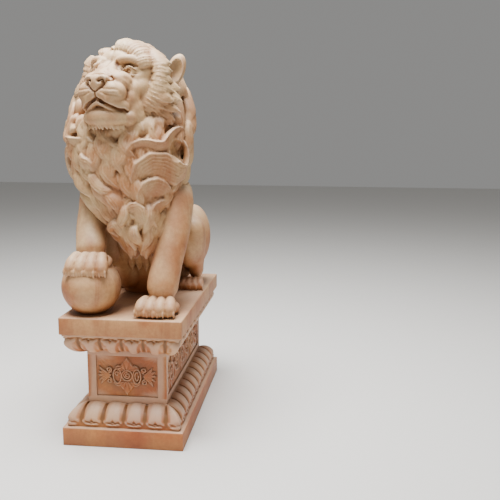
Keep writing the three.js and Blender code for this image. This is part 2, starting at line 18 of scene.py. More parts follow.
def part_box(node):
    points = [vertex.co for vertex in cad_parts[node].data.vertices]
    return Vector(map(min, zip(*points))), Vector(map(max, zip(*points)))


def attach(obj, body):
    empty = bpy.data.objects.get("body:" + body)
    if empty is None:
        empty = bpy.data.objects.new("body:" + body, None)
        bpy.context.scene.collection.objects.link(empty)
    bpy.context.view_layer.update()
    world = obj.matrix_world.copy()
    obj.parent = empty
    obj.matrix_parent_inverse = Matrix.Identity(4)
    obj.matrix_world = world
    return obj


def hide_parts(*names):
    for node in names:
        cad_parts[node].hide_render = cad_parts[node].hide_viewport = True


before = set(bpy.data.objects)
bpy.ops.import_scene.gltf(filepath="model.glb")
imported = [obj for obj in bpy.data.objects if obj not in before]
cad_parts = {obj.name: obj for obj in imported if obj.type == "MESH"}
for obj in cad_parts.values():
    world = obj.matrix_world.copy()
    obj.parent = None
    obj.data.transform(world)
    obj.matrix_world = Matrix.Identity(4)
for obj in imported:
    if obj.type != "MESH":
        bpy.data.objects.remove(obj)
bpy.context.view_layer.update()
slab_low, lion_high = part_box("lion_with_ball_and_slab")
plinth_low, plinth_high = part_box("pedestal")
print("the lion and its slab", tuple(slab_low), tuple(lion_high))
print("the pedestal", tuple(plinth_low), tuple(plinth_high))
mm = 0.001

# %% [markdown]
# The camera comes first, because every form is judged from where the photograph was taken. Its
# place was worked out from the corners of the base and the slab: 1.5 m above the ground, 3.5 m
# away, a step to the right of the lion, looking slightly down.

# %% The camera
yaw, pitch, roll = (math.radians(a) for a in (-5.43472, 9.58228, 0.45225))
camera_place = (0.90207, -3.40358, 1.50147)
focal_pixels, picture_pixels, sensor_mm = 622.4286, 500, 36
ahead = Vector((math.sin(yaw) * math.cos(pitch), math.cos(yaw) * math.cos(pitch), -math.sin(pitch)))
level = Vector((math.cos(yaw), -math.sin(yaw), 0))
upward = level.cross(ahead)
camera_right = math.cos(roll) * level + math.sin(roll) * upward
camera_up = -math.sin(roll) * level + math.cos(roll) * upward
axes = Matrix((camera_right, camera_up, -ahead)).transposed()
camera = bpy.data.objects.new("camera", bpy.data.cameras.new("camera"))
bpy.context.scene.collection.objects.link(camera)
camera.data.lens = focal_pixels / picture_pixels * sensor_mm
camera.matrix_world = Matrix.Translation(camera_place) @ axes.to_4x4()
bpy.context.scene.camera = camera
print("lens", round(camera.data.lens, 2), "mm")

# %% [markdown]
# Every carved form starts as one ball, modelled once and copied. Its poles become the two ends of
# a form and its rings become cross sections, so a ball can be drawn out along a curve into a leg, a
# tail or one strand of hair. Each copy has its own places, and the copies are joined later.

# %% A ball, modelled once for each fineness
def primitive(add, **settings):
    bpy.ops.object.select_all(action="DESELECT")
    add(**settings)
    return bpy.context.active_object


def edited(operator, **settings):
    bpy.ops.object.mode_set(mode="EDIT")
    bpy.ops.mesh.select_all(action="SELECT")
    operator(**settings)
    bpy.ops.object.mode_set(mode="OBJECT")


def modelled_ball(around, rings):
    ball = primitive(bpy.ops.mesh.primitive_uv_sphere_add, segments=around, ring_count=rings, radius=1)
    edited(bpy.ops.mesh.quads_convert_to_tris)
    places = np.array([v.co for v in ball.data.vertices])
    faces = np.array([p.vertices[:] for p in ball.data.polygons])
    bpy.data.meshes.remove(ball.data)
    return places, faces


hair_ball = modelled_ball(8, 14)
limb_ball = modelled_ball(24, 24)
mass_ball = modelled_ball(28, 20)
print("a strand of hair has", len(hair_ball[1]), "triangles")

# %% [markdown]
# A form that is drawn out follows a smooth curve through a few points. Every ring of its ball needs
# a place on the curve and the direction there, so the curve is worked out from the points.

# %% A smooth curve through points
def curve(points, t):
    p = np.asarray(points, float)
    steps = np.linalg.norm(np.diff(p, axis=0), axis=1)
    at = np.concatenate([[0], np.cumsum(steps)])
    slopes = np.gradient(p, at, axis=0)
    x = np.clip(t, 0, 1) * at[-1]
    i = np.clip(np.searchsorted(at, x, side="right") - 1, 0, len(steps) - 1)
    h = steps[i][:, None]
    u = ((x - at[i]) / steps[i])[:, None]
    a, b, sa, sb = p[i], p[i + 1], slopes[i] * h, slopes[i + 1] * h
    place = (2 * u**3 - 3 * u**2 + 1) * a + (u**3 - 2 * u**2 + u) * sa
    place += (3 * u**2 - 2 * u**3) * b + (u**3 - u**2) * sb
    slope = (6 * u**2 - 6 * u) * (a - b) + (3 * u**2 - 4 * u + 1) * sa + (3 * u**2 - 2 * u) * sb
    return place, slope / np.linalg.norm(slope, axis=1)[:, None]


def spread(numbers, t):
    return np.interp(t, np.linspace(0, 1, len(numbers)), numbers)


def unit(v):
    return v / np.maximum(np.linalg.norm(v, axis=-1, keepdims=True), 1e-9)


bow = [(0, 0, 0), (10, 0, 4), (20, 0, 0)]
print("halfway along a bow", curve(bow, np.array([0.5]))[0].round(1))

# %% [markdown]
# The half widths of a form lie across its curve and its half depths lie outwards, away from the
# body. Both are lists of numbers that are spread evenly along the curve. A strand of hair can also
# stop short of the curve's end, lie beside it or outside it, and run out to a point.

# %% Drawing a ball out along a curve
def drawn(ball, points, widths, depths, outward, end=1.0, shift=0.0, lift=0.0, blunt=2.4, point=0.0):
    places, faces = ball
    polar = np.arccos(np.clip(places[:, 2], -1, 1))
    t = polar / math.pi * end
    rounding = np.sqrt(np.clip(np.sin(polar) * blunt, 0, 1))
    if point:
        rounding = np.minimum(rounding, np.clip((1 - polar / math.pi) / point, 0, 1) ** 0.8)
    ring = np.hypot(places[:, 0], places[:, 1])
    across = np.where(ring > 1e-6, places[:, 0] / np.maximum(ring, 1e-6), 0) * rounding
    out = np.where(ring > 1e-6, places[:, 1] / np.maximum(ring, 1e-6), 0) * rounding
    place, direction = curve(points, t)
    away = outward(place) if callable(outward) else np.broadcast_to(np.array(outward, float), place.shape)
    away = unit(away - (away * direction).sum(1)[:, None] * direction)
    side = np.cross(away, direction)
    wide = spread(widths, t)
    deep = spread(depths, t)
    moved = place + side * (across * wide + shift * wide)[:, None]
    return moved + away * (out * deep + lift * deep)[:, None], faces


def turned(degrees):
    x, y, z = (math.radians(a) for a in degrees)
    return np.array(Matrix.Rotation(z, 3, "Z") @ Matrix.Rotation(y, 3, "Y") @ Matrix.Rotation(x, 3, "X"))


def flipped(side, points):
    return np.array(points) * (side, 1, 1)


def mass(centre, radii, turn=(0, 0, 0)):
    return (mass_ball[0] * np.array(radii)) @ turned(turn).T + np.array(centre), mass_ball[1]


def limb(points, widths, depths, outward):
    return drawn(limb_ball, points, widths, depths, outward)


print("a limb has", len(limb_ball[1]), "triangles and a mass has", len(mass_ball[1]))

# %% [markdown]
# Joined forms overlap. A voxel remesh turns them into one closed skin, and smoothing then lets
# muscle flow into muscle, as a carver's rasp does. Soft forms get many smoothing steps and hair
# gets hardly any.

# %% From many forms to one skin
def mesh_piece(name, forms):
    places, faces, first = [], [], 0
    for p, f in forms:
        places.append(p)
        faces.append(f + first)
        first += len(p)
    places = np.concatenate(places) * mm
    faces = np.concatenate(faces)
    mesh = bpy.data.meshes.new(name)
    mesh.from_pydata(places.tolist(), [], faces.tolist())
    piece = bpy.data.objects.new(name, mesh)
    bpy.context.scene.collection.objects.link(piece)
    return piece


def only(piece):
    bpy.ops.object.select_all(action="DESELECT")
    piece.select_set(True)
    bpy.context.view_layer.objects.active = piece


def applied(piece, kind, **settings):
    only(piece)
    modifier = piece.modifiers.new(kind.lower(), kind)
    for key, value in settings.items():
        setattr(modifier, key, value)
    bpy.ops.object.modifier_apply(modifier=modifier.name)
    return piece


def one_skin(piece, voxel_mm, smoothing, factor=0.5):
    applied(piece, "REMESH", mode="VOXEL", voxel_size=voxel_mm * mm, adaptivity=0)
    if smoothing:
        applied(piece, "SMOOTH", factor=factor, iterations=smoothing)
    return piece


def places_of(piece):
    flat = np.empty(len(piece.data.vertices) * 3, np.float32)
    piece.data.vertices.foreach_get("co", flat)
    return flat.reshape(-1, 3).astype(float) * 1000


def set_places(piece, places):
    metres = (places * mm).astype(np.float32)
    piece.data.vertices.foreach_set("co", metres.ravel())
    piece.data.update()
    return metres


def triangles_of(piece):
    piece.data.calc_loop_triangles()
    flat = np.empty(len(piece.data.loop_triangles) * 3, np.int32)
    piece.data.loop_triangles.foreach_get("vertices", flat)
    return flat.reshape(-1, 3)


# %% [markdown]
# The lion is modelled in millimetres in a frame of its own: the origin is in the middle of the
# slab's top, -Y is ahead and the viewer's right is +X. The head has a frame of its own too, turned
# a little to the viewer's left and lifted, so that its two halves can be modelled alike.

# %% The head's frame
head_centre = np.array([-20, -300, 1130])
head_turn = turned((-11, 0, -15.5))
head_scale = 0.97


def in_place(form):
    return (form[0] * head_scale) @ head_turn.T + head_centre, form[1]


def in_head(places):
    return (places - head_centre) @ head_turn / head_scale


print("the face looks along", (head_turn @ (0, -1, 0)).round(2))

# %% [markdown]
# The mane lies on a stack of ellipses. A place on it is named by its bearing, 0 in front and 90 on
# the viewer's right, and by its height, which is how a carver would mark out the locks.

# %% The stack of ellipses under the mane
mane_rings = np.array([
    # z, x, y, half width, half depth
    (330, 60, -375, 35, 35),
    (400, 50, -345, 90, 80),
    (500, 25, -290, 160, 140),
    (600, 0, -245, 218, 190),
    (700, -20, -225, 262, 222),
    (800, -22, -215, 282, 238),
    (900, -28, -196, 292, 236),
    (1000, -26, -164, 288, 220),
    (1100, -24, -136, 254, 196),
    (1200, -20, -122, 208, 166),
    (1290, -8, -140, 130, 118),
], float)


def mane_ring(z):
    return [np.interp(z, mane_rings[:, 0], mane_rings[:, k]) for k in (1, 2, 3, 4)]


def on_mane(bearing, z, lift=0.0):
    x, y, a, b = mane_ring(z)
    turn = math.radians(bearing)
    return [x + (a + lift) * math.sin(turn), y - (b + lift) * math.cos(turn), z]


def out_of_mane(place):
    x, y, a, b = mane_ring(place[:, 2])
    return unit(np.stack([(place[:, 0] - x) / a, (place[:, 1] - y) / b, np.full(len(place), 0.15)], 1))


def mane_core(inset=14, rise=30, blunt=2.4):
    places, faces = mass_ball
    z = np.interp(places[:, 2], [-1, 1], [mane_rings[0, 0], mane_rings[-1, 0] + rise])
    x, y, a, b = mane_ring(z)
    ring = np.hypot(places[:, 0], places[:, 1])
    share = np.where(ring > 1e-6, 1 / np.maximum(ring, 1e-6), 0) * np.sqrt(np.clip(ring * blunt, 0, 1))
    across, along = places[:, 0] * share, places[:, 1] * share
    return np.stack([x + across * (a - inset), y + along * (b - inset), z], 1), faces


print("the mane is widest", mane_rings[mane_rings[:, 3].argmax(), 0], "mm above the slab")

# %% [markdown]
# The forelegs stand in front. The viewer's right leg stands on the slab and the left paw lies on
# the ball. Each leg is a limb with a mass for the shoulder and one for the foot.

# %% The forelegs
def fore_legs():
    return [
        limb([(215, -190, 640), (220, -262, 520), (221, -328, 395), (202, -382, 270), (183, -422, 150),
              (174, -440, 40)],
             [92, 88, 82, 78, 77, 80, 86], [120, 114, 96, 80, 68, 66, 62], (0, -1, 0.2)),
        mass((200, -205, 560), (96, 128, 130)),
        limb([(150, -300, 470), (190, -372, 330), (176, -410, 190)], [30, 34, 22], [34, 34, 22],
             (0, -1, 0.2)),
        mass((166, -432, 34), (104, 88, 50)),
        limb([(-200, -195, 640), (-206, -270, 520), (-206, -345, 400), (-188, -400, 325), (-178, -440, 262)],
             [90, 84, 76, 74, 76, 86], [118, 108, 84, 66, 60, 54], (0, -1, 0.2)),
        mass((-196, -210, 560), (92, 124, 124)),
        mass((-170, -452, 262), (108, 80, 40), (10, 0, 0)),
    ]


print("the forelegs have", len(fore_legs()), "forms")

# %% [markdown]
# The back slopes down to the haunches, and the belly hangs between the forelegs. Smaller forms fill
# the breast and the neck under the hair, so that no dark gap opens between the locks. The tail lies
# along the side on the viewer's left.

# %% Haunches, trunk and tail
def hind_legs():
    return [form for s in (-1, 1) for form in [
        mass((s * 205, 240, 295), (108, 206, 190), (18, 0, 0)),
        limb(flipped(s, [(232, 130, 440), (242, 108, 360), (246, 150, 230), (236, 205, 110),
                         (230, 210, 40)]),
             [50, 66, 60, 50, 44, 52], [50, 76, 74, 56, 50, 56], (0, -1, 0)),
    ]]


def torso():
    return [
        limb([(0, -190, 660), (0, -50, 590), (0, 130, 450), (0, 320, 280), (0, 430, 130)],
             [170, 213, 226, 224, 203, 120], [180, 223, 233, 218, 183, 110], (0, -0.5, 1)),
        mass((0, 300, 120), (213, 180, 130)),
        limb([(10, -200, 520), (0, -110, 400), (-10, -20, 240), (-10, 70, 40), (-10, 110, -60)],
             [130, 160, 165, 165, 160], [120, 130, 130, 120, 90], (0, -1, -0.4)),
        limb([(-104, -230, 500), (-116, -200, 400), (-118, -150, 290), (-108, -90, 170), (-100, -30, 30)],
             [62, 72, 74, 72, 70], [70, 76, 76, 70, 60], (0, -1, -0.4)),
        mass((-262, -250, 1004), (44, 46, 62)),
        mass((-238, -322, 1006), (38, 42, 56)),
        limb([(-255, -320, 930), (-150, -400, 918), (-20, -438, 905), (110, -408, 915), (215, -325, 930)],
             [44, 56, 60, 56, 44], [36, 42, 44, 42, 36], (0, -1, 0)),
        mass((-150, -190, 330), (60, 80, 150)),
    ]


tail = limb([(20, 440, 150), (-60, 505, 70), (-170, 500, 40), (-252, 400, 34), (-272, 250, 34),
             (-274, 130, 36)],
            [50, 40, 35, 32, 30, 28], [50, 40, 35, 34, 32, 28], (0, 0, 1))
body = mesh_piece("body", [mane_core(), *torso(), *fore_legs(), *hind_legs(), tail])
one_skin(body, voxel_mm=6, smoothing=12)
print("body", len(body.data.vertices), "places")

# %% [markdown]
# The face: a skull, a straight bridge, two rounded halves of the muzzle with the lips that hang to
# the corners of the mouth, a chin, cheeks, brows and ears. What lies on the middle line is made
# once and the rest is made for both halves. Lines such as the mouth are cut later.

# %% The middle of the face
def middle_of_face():
    return [
        mass((0, 10, 40), (150, 150, 146), (-20, 0, 0)),
        mass((0, -88, 92), (98, 52, 50)),
        limb([(0, -66, 84), (0, -138, 28), (0, -190, -14), (0, -238, -44)],
             [84, 72, 64, 62, 56], [40, 38, 36, 31, 22], (0, -0.3, 1)),
        mass((-50, -148, 36), (42, 38, 36)),
        mass((0, -252, -56), (44, 22, 32), (-12, 0, 0)),
        limb([(0, -248, -60), (0, -252, -84), (0, -248, -108)], [44, 30, 10], [16, 16, 10], (0, -1, 0)),
        mass((0, -168, -100), (90, 92, 70)),
        mass((0, -112, -196), (98, 96, 62)),
        limb([(-110, -104, -202), (-70, -166, -208), (0, -186, -211), (70, -166, -208), (110, -104, -202)],
             [28, 40, 45, 40, 28], [30, 34, 36, 34, 30], (0, -1, 0)),
    ]


print("the middle of the face has", len(middle_of_face()), "forms")

# %% [markdown]
# Each half of the face is written for the viewer's right. Its forms run from the nose over the
# muzzle and the cheek to the ear, and the brow is drawn out over the eye.

# %% The halves of the face
ear_centre = np.array([240, 78, 84])
ear_radii = np.array([48, 30, 90])
face_masses = [
    # centre on the viewer's right, radii
    ((66, -146, -38), (62, 72, 56)),
    ((104, -98, -62), (52, 58, 56)),
    ((134, -56, -36), (46, 52, 56)),
    ((142, -42, 6), (38, 44, 44)),
    ((150, -50, 40), (36, 42, 44)),
    ((118, -80, 44), (36, 34, 32)),
    ((114, -84, 0), (38, 32, 28)),
    ((134, -70, 16), (34, 34, 34)),
    ((124, -94, -178), (26, 34, 30)),
    ((128, -66, -182), (40, 42, 50)),
    ((98, -112, -200), (50, 44, 42)),
    ((152, -34, -84), (40, 46, 70)),
    ((110, -92, -176), (32, 40, 36)),
    ((104, -104, -104), (46, 56, 62)),
    ((118, -74, -150), (44, 58, 64)),
    ((96, -80, -204), (46, 58, 44)),
]


def half_of_face(s):
    return [
        mass((s * 38, -246, -52), (30, 24, 27)),
        mass((s * 66, -194, -98), (60, 62, 58)),
        mass((s * 34, -222, -112), (38, 34, 34)),
        limb(flipped(s, [(24, -228, -122), (62, -200, -140), (92, -166, -154), (112, -122, -168)]),
             [30, 36, 34, 20], [34, 38, 34, 22], (0, -1, -0.2)),
        *[mass(flipped(s, centre), radii) for centre, radii in face_masses],
        limb(flipped(s, [(22, -124, 56), (52, -136, 76), (98, -122, 84), (148, -74, 60)]),
             [18, 22, 23, 16], [20, 23, 22, 14], (0, -1, 0.5)),
    ]


def ear(s):
    return mass(flipped(s, ear_centre), ear_radii, (6, s * 16, s * 24))


face = [*middle_of_face(), *half_of_face(-1), *half_of_face(1), ear(-1), ear(1)]
skull = mesh_piece("skull", [in_place(form) for form in face])
one_skin(skull, voxel_mm=4, smoothing=11)
print("face", len(skull.data.vertices), "places")

# %% [markdown]
# A lock is a bundle of strands that lie side by side along one curve and draw together at the tip.
# Every strand is a drawn-out ball, and each ends at a slightly different place, so the tip breaks
# up into points. The grooves between strands are then real and catch the light. A large overlap
# makes them shallow, a slant lays the strands like shingles, and a crown rounds the whole lock.

# %% Locks made of strands
def bundle(points, width, depth, outward, strands=4, crown=0.8, slant=0.3, widths=None, ragged=0.16,
           turn=0, overlap=2.1):
    shape = np.array(widths if widths else [0.5, 0.85, 1, 0.95, 0.78, 0.5, 0.14])
    depths = np.array([0.7, 1, 1, 1, 0.9, 0.75, 0.4]) * depth / 2
    step = width / 2 / strands
    forms = []
    for k in range(strands):
        across = (2 * k + 1) / strands - 1
        end = 1 - ragged * (abs(across) * 0.7 + 0.5 * ((k * 7 + turn * 3) % 5) / 5)
        forms.append(drawn(
            hair_ball, points, shape * step * overlap, depths, outward, end=end, blunt=1.6, point=0.3,
            shift=across * strands / overlap, lift=crown * (1 - across**2) + slant * across))
    return forms


def lock(path, width=80, depth=50, lift=16, strands=5, proud=False, **more):
    last = len(path) - 1
    points = []
    for i, (bearing, z) in enumerate(path):
        arch = i / last if proud else math.sin(math.pi * min(i + 0.5, last) / (last + 0.6))
        points.append(on_mane(bearing, z, lift * (0.2 + 0.8 * arch)))
    return bundle(points, width, depth, out_of_mane, strands, **more)


short_lock = lock([(0, 900), (2, 850), (5, 800)])
print("a lock of", len(short_lock), "strands has", sum(len(f) for _, f in short_lock), "triangles")

# %% [markdown]
# Under the locks that show one by one, rows of plain locks cover the whole mane. They hang in
# rows like tiles and sway left and right in turn.

# %% Rows of hanging locks
row_heights = range(1215, 420, -88)
lock_spacing = 74


def lock_rows():
    forms = []
    for r, z in enumerate(row_heights):
        a, b = mane_ring(z - 60)[2:]
        count = int(2 * math.pi * (a + b) / 2 / lock_spacing)
        for i in range(count):
            bearing = (i + 0.5 * (r % 2)) * 360 / count
            if z > 900 and (bearing < 62 or bearing > 298):
                continue
            sway = (5 if (i + r) % 2 else -5) * (1 + 0.4 * ((i * 5 + r * 3) % 4) / 4)
            drop = 165 + 12 * ((i * 7 + r) % 3)
            forms += lock([(bearing, z), (bearing + sway, z - drop * 0.34),
                           (bearing + sway * 0.5, z - drop * 0.68), (bearing - sway, z - drop)],
                          width=88, depth=40, lift=14, strands=6, proud=True,
                          slant=0.5 if (i + r) % 2 else -0.5, turn=i + r)
    return forms


carving = lock_rows()
print("the rows have", len(carving), "strands")

# %% [markdown]
# Small tufts cover the chest like feathers, in rows that are set half a tuft apart. They are what
# shows between the large locks, so they are short, ragged and sway by turns.

# %% Tufts on the chest
tuft_heights = range(930, 433, -62)
tuft_spacing = 52


def tufts():
    forms = []
    for r, z in enumerate(tuft_heights):
        half_width = mane_ring(z - 60)[2]
        count = max(5, round(2.2 * half_width / tuft_spacing))
        for i in range(count):
            bearing = (i - (count - 1) / 2 + 0.5 * (r % 2)) * 132 / count - 6
            sway = (7 if (i + r) % 2 else -7) + 3 * ((i * 3 + r) % 3) - 3
            drop = 104 + 14 * ((i * 5 + r * 2) % 4)
            forms += lock([(bearing - sway * 0.3, z + 34), (bearing + sway, z - drop * 0.25),
                           (bearing + sway * 0.4, z - drop * 0.6), (bearing - sway * 0.7, z - drop)],
                          width=64, depth=40, lift=27, strands=5, proud=True, ragged=0.22,
                          slant=0.7 if sway > 0 else -0.7, turn=i + 2 * r)
    return forms


carving += tufts()
print("with the tufts,", len(carving), "strands")

# %% [markdown]
# The chest carries the locks that the eye reads first: a great wave that climbs the viewer's right
# shoulder and rolls over at its crest, smaller waves under and over it, and a roll on the other
# shoulder. Each is one path of bearings and heights. Their strands are laid like shingles, so that
# every groove has one steep side, as if combed.

# %% The rolled curls
combed = {"depth": 44, "overlap": 1.8, "crown": 0.2, "slant": 0.9, "ragged": 0.06}
curls = [
    # path, width, lift, strands
    ([(24, 538), (23, 580), (27, 615), (35, 633), (44, 620), (55, 590), (66, 609)], 88, 40, 6),
    ([(60, 430), (43, 473), (39, 516), (47, 539), (60, 539), (72, 500)], 64, 28, 5),
    ([(10, 792), (16, 819), (25, 833), (34, 820), (42, 826), (47, 868), (54, 898), (63, 902), (70, 876),
      (73, 836)], 58, 40, 5),
    ([(-69, 630), (-70, 687), (-71, 730), (-70, 765), (-62, 791), (-42, 796), (-28, 794)], 62, 26, 5),
    ([(-72, 851), (-56, 842), (-40, 838), (-26, 851), (-20, 885)], 56, 28, 5),
]


def rolled_curls():
    forms = lock([(22, 587), (21, 643), (23, 691), (28, 725), (38, 738), (49, 717), (61, 694), (71, 718),
                  (72, 771), (70, 820), (65, 862), (55, 881), (49, 855), (49, 820)],
                 width=122, lift=44, strands=8, **combed,
                 widths=[0.3, 0.7, 0.95, 1, 1, 1, 0.95, 0.75, 0.45, 0.34, 0.32, 0.3, 0.26, 0.2])
    for path, width, lift, strands in curls:
        forms += lock(path, width=width, lift=lift, strands=strands, **combed)
    return forms


carving += rolled_curls()
print("with the curls,", len(carving), "strands")

# %% [markdown]
# From under the curls, S-shaped locks fall and cross between the forelegs. Down the middle of the
# chest hangs a tassel of narrow locks in two tiers.

# %% Locks that fall and cross
falls = [
    [(-26, 722), (-24, 667), (-19, 630), (-10, 614), (0, 587)],
    [(-39, 637), (-29, 604), (-21, 571), (-21, 536), (-37, 498)],
    [(-17, 613), (-11, 579), (-8, 538), (-22, 480)],
    [(-2, 476), (7, 525), (15, 528), (18, 483), (24, 433), (22, 376)],
    [(-60, 372), (-48, 433), (-22, 459), (-24, 417), (-26, 359)],
    [(-4, 545), (-5, 503), (-18, 453), (-16, 404)],
    [(-66, 630), (-58, 604), (-53, 549), (-62, 476), (-60, 409)],
    [(-37, 796), (-33, 749), (-25, 729), (-25, 681)],
    [(-48, 720), (-50, 660), (-42, 600), (-50, 540)],
    [(17, 690), (15, 620), (18, 560), (12, 500)],
    [(30, 560), (34, 500), (30, 440), (18, 380)],
    [(6, 450), (0, 410), (6, 370), (20, 336)],
]


def falling_locks():
    forms = []
    for k, path in enumerate(falls):
        forms += lock(path, width=58, depth=42, lift=38, strands=5, overlap=1.9, crown=0.5, ragged=0.12,
                      slant=0.6 if k % 2 else -0.6, turn=k)
    for k in range(7):
        bearing = -8 + 3.6 * k
        for top, end in ((796, 706 + 5 * (k % 3)), (706, 622 - 5 * (k % 2))):
            forms += lock([(bearing * 0.9, top), (bearing * 1.05, (top + end) / 2), (bearing, end)],
                          width=24, depth=34, lift=34, strands=2, proud=True, ragged=0.2, turn=k)
    return forms


carving += falling_locks()
print("with the falling locks,", len(carving), "strands")

# %% [markdown]
# A bib of tufts hangs below the cheeks, on both sides of the chin. Its tufts are lifted well clear
# of the chest, so that their tips cast a shadow.

# %% The bib
bib = [
    [(14, 953), (16, 923), (17, 893)],
    [(20, 960), (22, 924), (25, 887)],
    [(27, 968), (30, 922), (33, 877)],
    [(35, 975), (38, 940), (41, 905)],
    [(44, 977), (47, 946), (50, 916)],
    [(52, 979), (56, 956), (61, 932)],
    [(-47, 969), (-47, 944), (-47, 920)],
    [(-37, 967), (-37, 938), (-37, 909)],
    [(-29, 963), (-29, 934), (-29, 905)],
    [(-23, 952), (-22, 922), (-22, 892)],
    [(-44, 920), (-46, 898), (-48, 875)],
]
for k, path in enumerate(bib):
    carving += lock(path, width=58, depth=32, lift=50, strands=5, proud=True, overlap=1.7, ragged=0.26,
                    turn=k)
print("with the bib,", len(carving), "strands")

# %% [markdown]
# The ruff frames the face. Its locks spring from the edge of the cheeks and point outwards, in
# three rings: short pointed locks round the face, longer ones behind them, and a few that fill the
# gap between the two. A ruff lock is placed by its angle round the face, 0 at the top, and by how
# far out it reaches.

# %% The ruff
def ruff_lock(angle, reach, back, root=178, root_back=-50, width=60, depth=36, strands=4, droop=10, **more):
    turn = math.radians(angle)

    def at(radius, y, drop=0.0):
        return (radius * math.sin(turn), y, radius * math.cos(turn) - drop)

    points = [
        at(root - 30, root_back - 2),
        at(root + (reach - root) * 0.3, root_back - 10 + (back - root_back) * 0.12),
        at(root + (reach - root) * 0.75, root_back - 4 + (back - root_back) * 0.5, 3),
        at(reach + 0.09 * (reach - root + 30), back, droop * abs(math.sin(turn))),
    ]

    def outward(place):
        return unit(np.stack([place[:, 0] / 300, np.full(len(place), -0.8), place[:, 2] / 300], 1))

    return [in_place(f) for f in bundle(points, width, depth, outward, strands, **more)]


right_locks = [
    # angle, reach, how far back the tip lies, radius of the root
    (56, 254, 40, 200), (66, 270, 36, 206), (75, 262, 36, 210), (86, 262, 36, 208), (97, 276, 30, 200),
    (107, 300, 30, 188), (117, 281, 14, 172), (126, 252, -18, 168), (135, 215, -45, 160),
]
left_locks = [
    (-60, 276, 20, 178), (-67, 260, 20, 178), (-75, 250, 20, 178), (-86, 264, 20, 178), (-98, 314, 20, 178),
    (-110, 312, 4, 178), (-122, 268, -18, 178), (-134, 215, -45, 170),
]
second_ring = [
    (92, 290, 76), (103, 316, 70), (113, 330, 64), (122, 328, 56), (130, 318, 50), (139, 306, 38),
    (149, 296, 20), (160, 284, 0), (-90, 282, 40), (-99, 330, 44), (-108, 362, 44), (-118, 372, 40),
    (-128, 356, 40), (-139, 328, 34), (-149, 306, 20), (-160, 284, 0),
]
third_ring = [(100, 262), (112, 268), (124, 262), (136, 252), (-112, 286), (-124, 276), (-136, 260)]
between = [tuple((np.array(a) + b) / 2 - (0, 14, 2, -8)) for a, b in zip(right_locks, right_locks[1:])]


def ruff():
    forms = []
    for k, (angle, reach, back, root) in enumerate(right_locks + left_locks + between):
        forms += ruff_lock(angle, reach, back, root=root, width=60, depth=32, strands=5,
                           widths=[0.4, 0.75, 1, 1, 0.8, 0.5, 0.14], turn=k, crown=0.2, overlap=1.65,
                           ragged=0.28, slant=-0.4 if angle > 0 else 0.4)
    for k, (angle, reach, back) in enumerate(second_ring):
        forms += ruff_lock(angle, reach, back, root=190, root_back=4 - max(0, abs(angle) - 120), width=64,
                           depth=36, strands=5, turn=k, crown=0.25, overlap=1.7, ragged=0.24,
                           slant=-0.45 if angle > 0 else 0.45)
    for k, (angle, reach) in enumerate(third_ring):
        forms += ruff_lock(angle, reach, 24, root=170, root_back=-24, width=52, depth=44, strands=4, turn=k)
    return forms


carving += ruff()
print("with the ruff,", len(carving), "strands")

# %% [markdown]
# Above the brow the hair rises from the hairline and curls back. A ring of wider locks covers the
# top of the head behind it, and the last locks run over the back of the head.

# %% The crown
def crown_lock(angle, reach, width, y=-72, rise=0, **more):
    turn = math.radians(angle)
    points = [(radius * math.sin(turn), back, radius * math.cos(turn)) for radius, back in (
        (112, y), (132, y - 20), (reach * 0.82, y - 22), (reach * 0.98, -52), (reach + rise, 0),
        (reach - 22 + 2 * rise, 60))]
    outward = (0.35 * math.sin(turn), -1, 0.35 * math.cos(turn))
    return [in_place(f) for f in bundle(points, width, 40, outward, **more)]


crown_locks = [
    # angle, reach, width
    (-56, 156, 44), (-43, 150, 46), (-30, 174, 50), (-17, 154, 46), (-5, 160, 44), (6, 190, 42),
    (17, 190, 50), (28, 194, 56), (40, 198, 60), (52, 200, 58), (64, 198, 52),
]
raised_tips = {6: 20, -56: 10, -30: 14}
low_reach, high_reach = 140, 178


def crown():
    forms = []
    for k, (angle, reach, width) in enumerate(crown_locks):
        forms += crown_lock(angle, reach, width, rise=raised_tips.get(angle, 0), strands=4, crown=0.3,
                            slant=0.35, overlap=1.65, ragged=0.2, turn=k)
    for k, angle in enumerate(range(-75, 76, 15)):
        reach = low_reach if angle < 5 else high_reach
        forms += ruff_lock(angle, reach + 20, 150, root=reach, root_back=10, width=84, depth=50,
                           strands=5, turn=k)
    for k, angle in enumerate(range(-108, 109, 18)):
        turn = math.radians(angle)
        points = [(158 * share * math.sin(turn), back, 40 + 154 * share * math.cos(turn))
                  for share, back in ((0.98, 44), (0.93, 84), (0.76, 126), (0.48, 160))]
        outward = (math.sin(turn), 0.6, math.cos(turn))
        forms += [in_place(f) for f in bundle(points, 78, 44, outward, strands=6, crown=0.5, turn=k)]
    return forms


carving += crown()
print("with the crown,", len(carving), "strands")

# %% [markdown]
# Short single strands make the fringe on the chin. They are longest in the middle.

# %% The beard
def beard():
    forms = []
    for k in range(22):
        x = -86 + 8.2 * k
        y = -184 + x * x * 0.0085
        long = (6 + 4 * ((k * 7) % 5)) * (1 - (x / 130) ** 2)
        sway = 3 * ((k * 3) % 4) - 5
        points = [(x * 0.98, y + 4, -216), (x, y - 4, -240), (x * 1.03 + sway, y + 8, -256 - long)]
        forms.append(in_place(drawn(hair_ball, points, [6, 8, 8, 4], [8, 10, 10, 6], (0, -1, 0))))
    return forms


carving += beard()
print("with the beard,", len(carving), "strands")

# %% [markdown]
# A paw has four toes. Each toe arches up over its knuckle, and hair hangs over its tip in four
# short strands. A line of shares of the reach and heights says how a paw bends: flat on the slab,
# or over the ball.

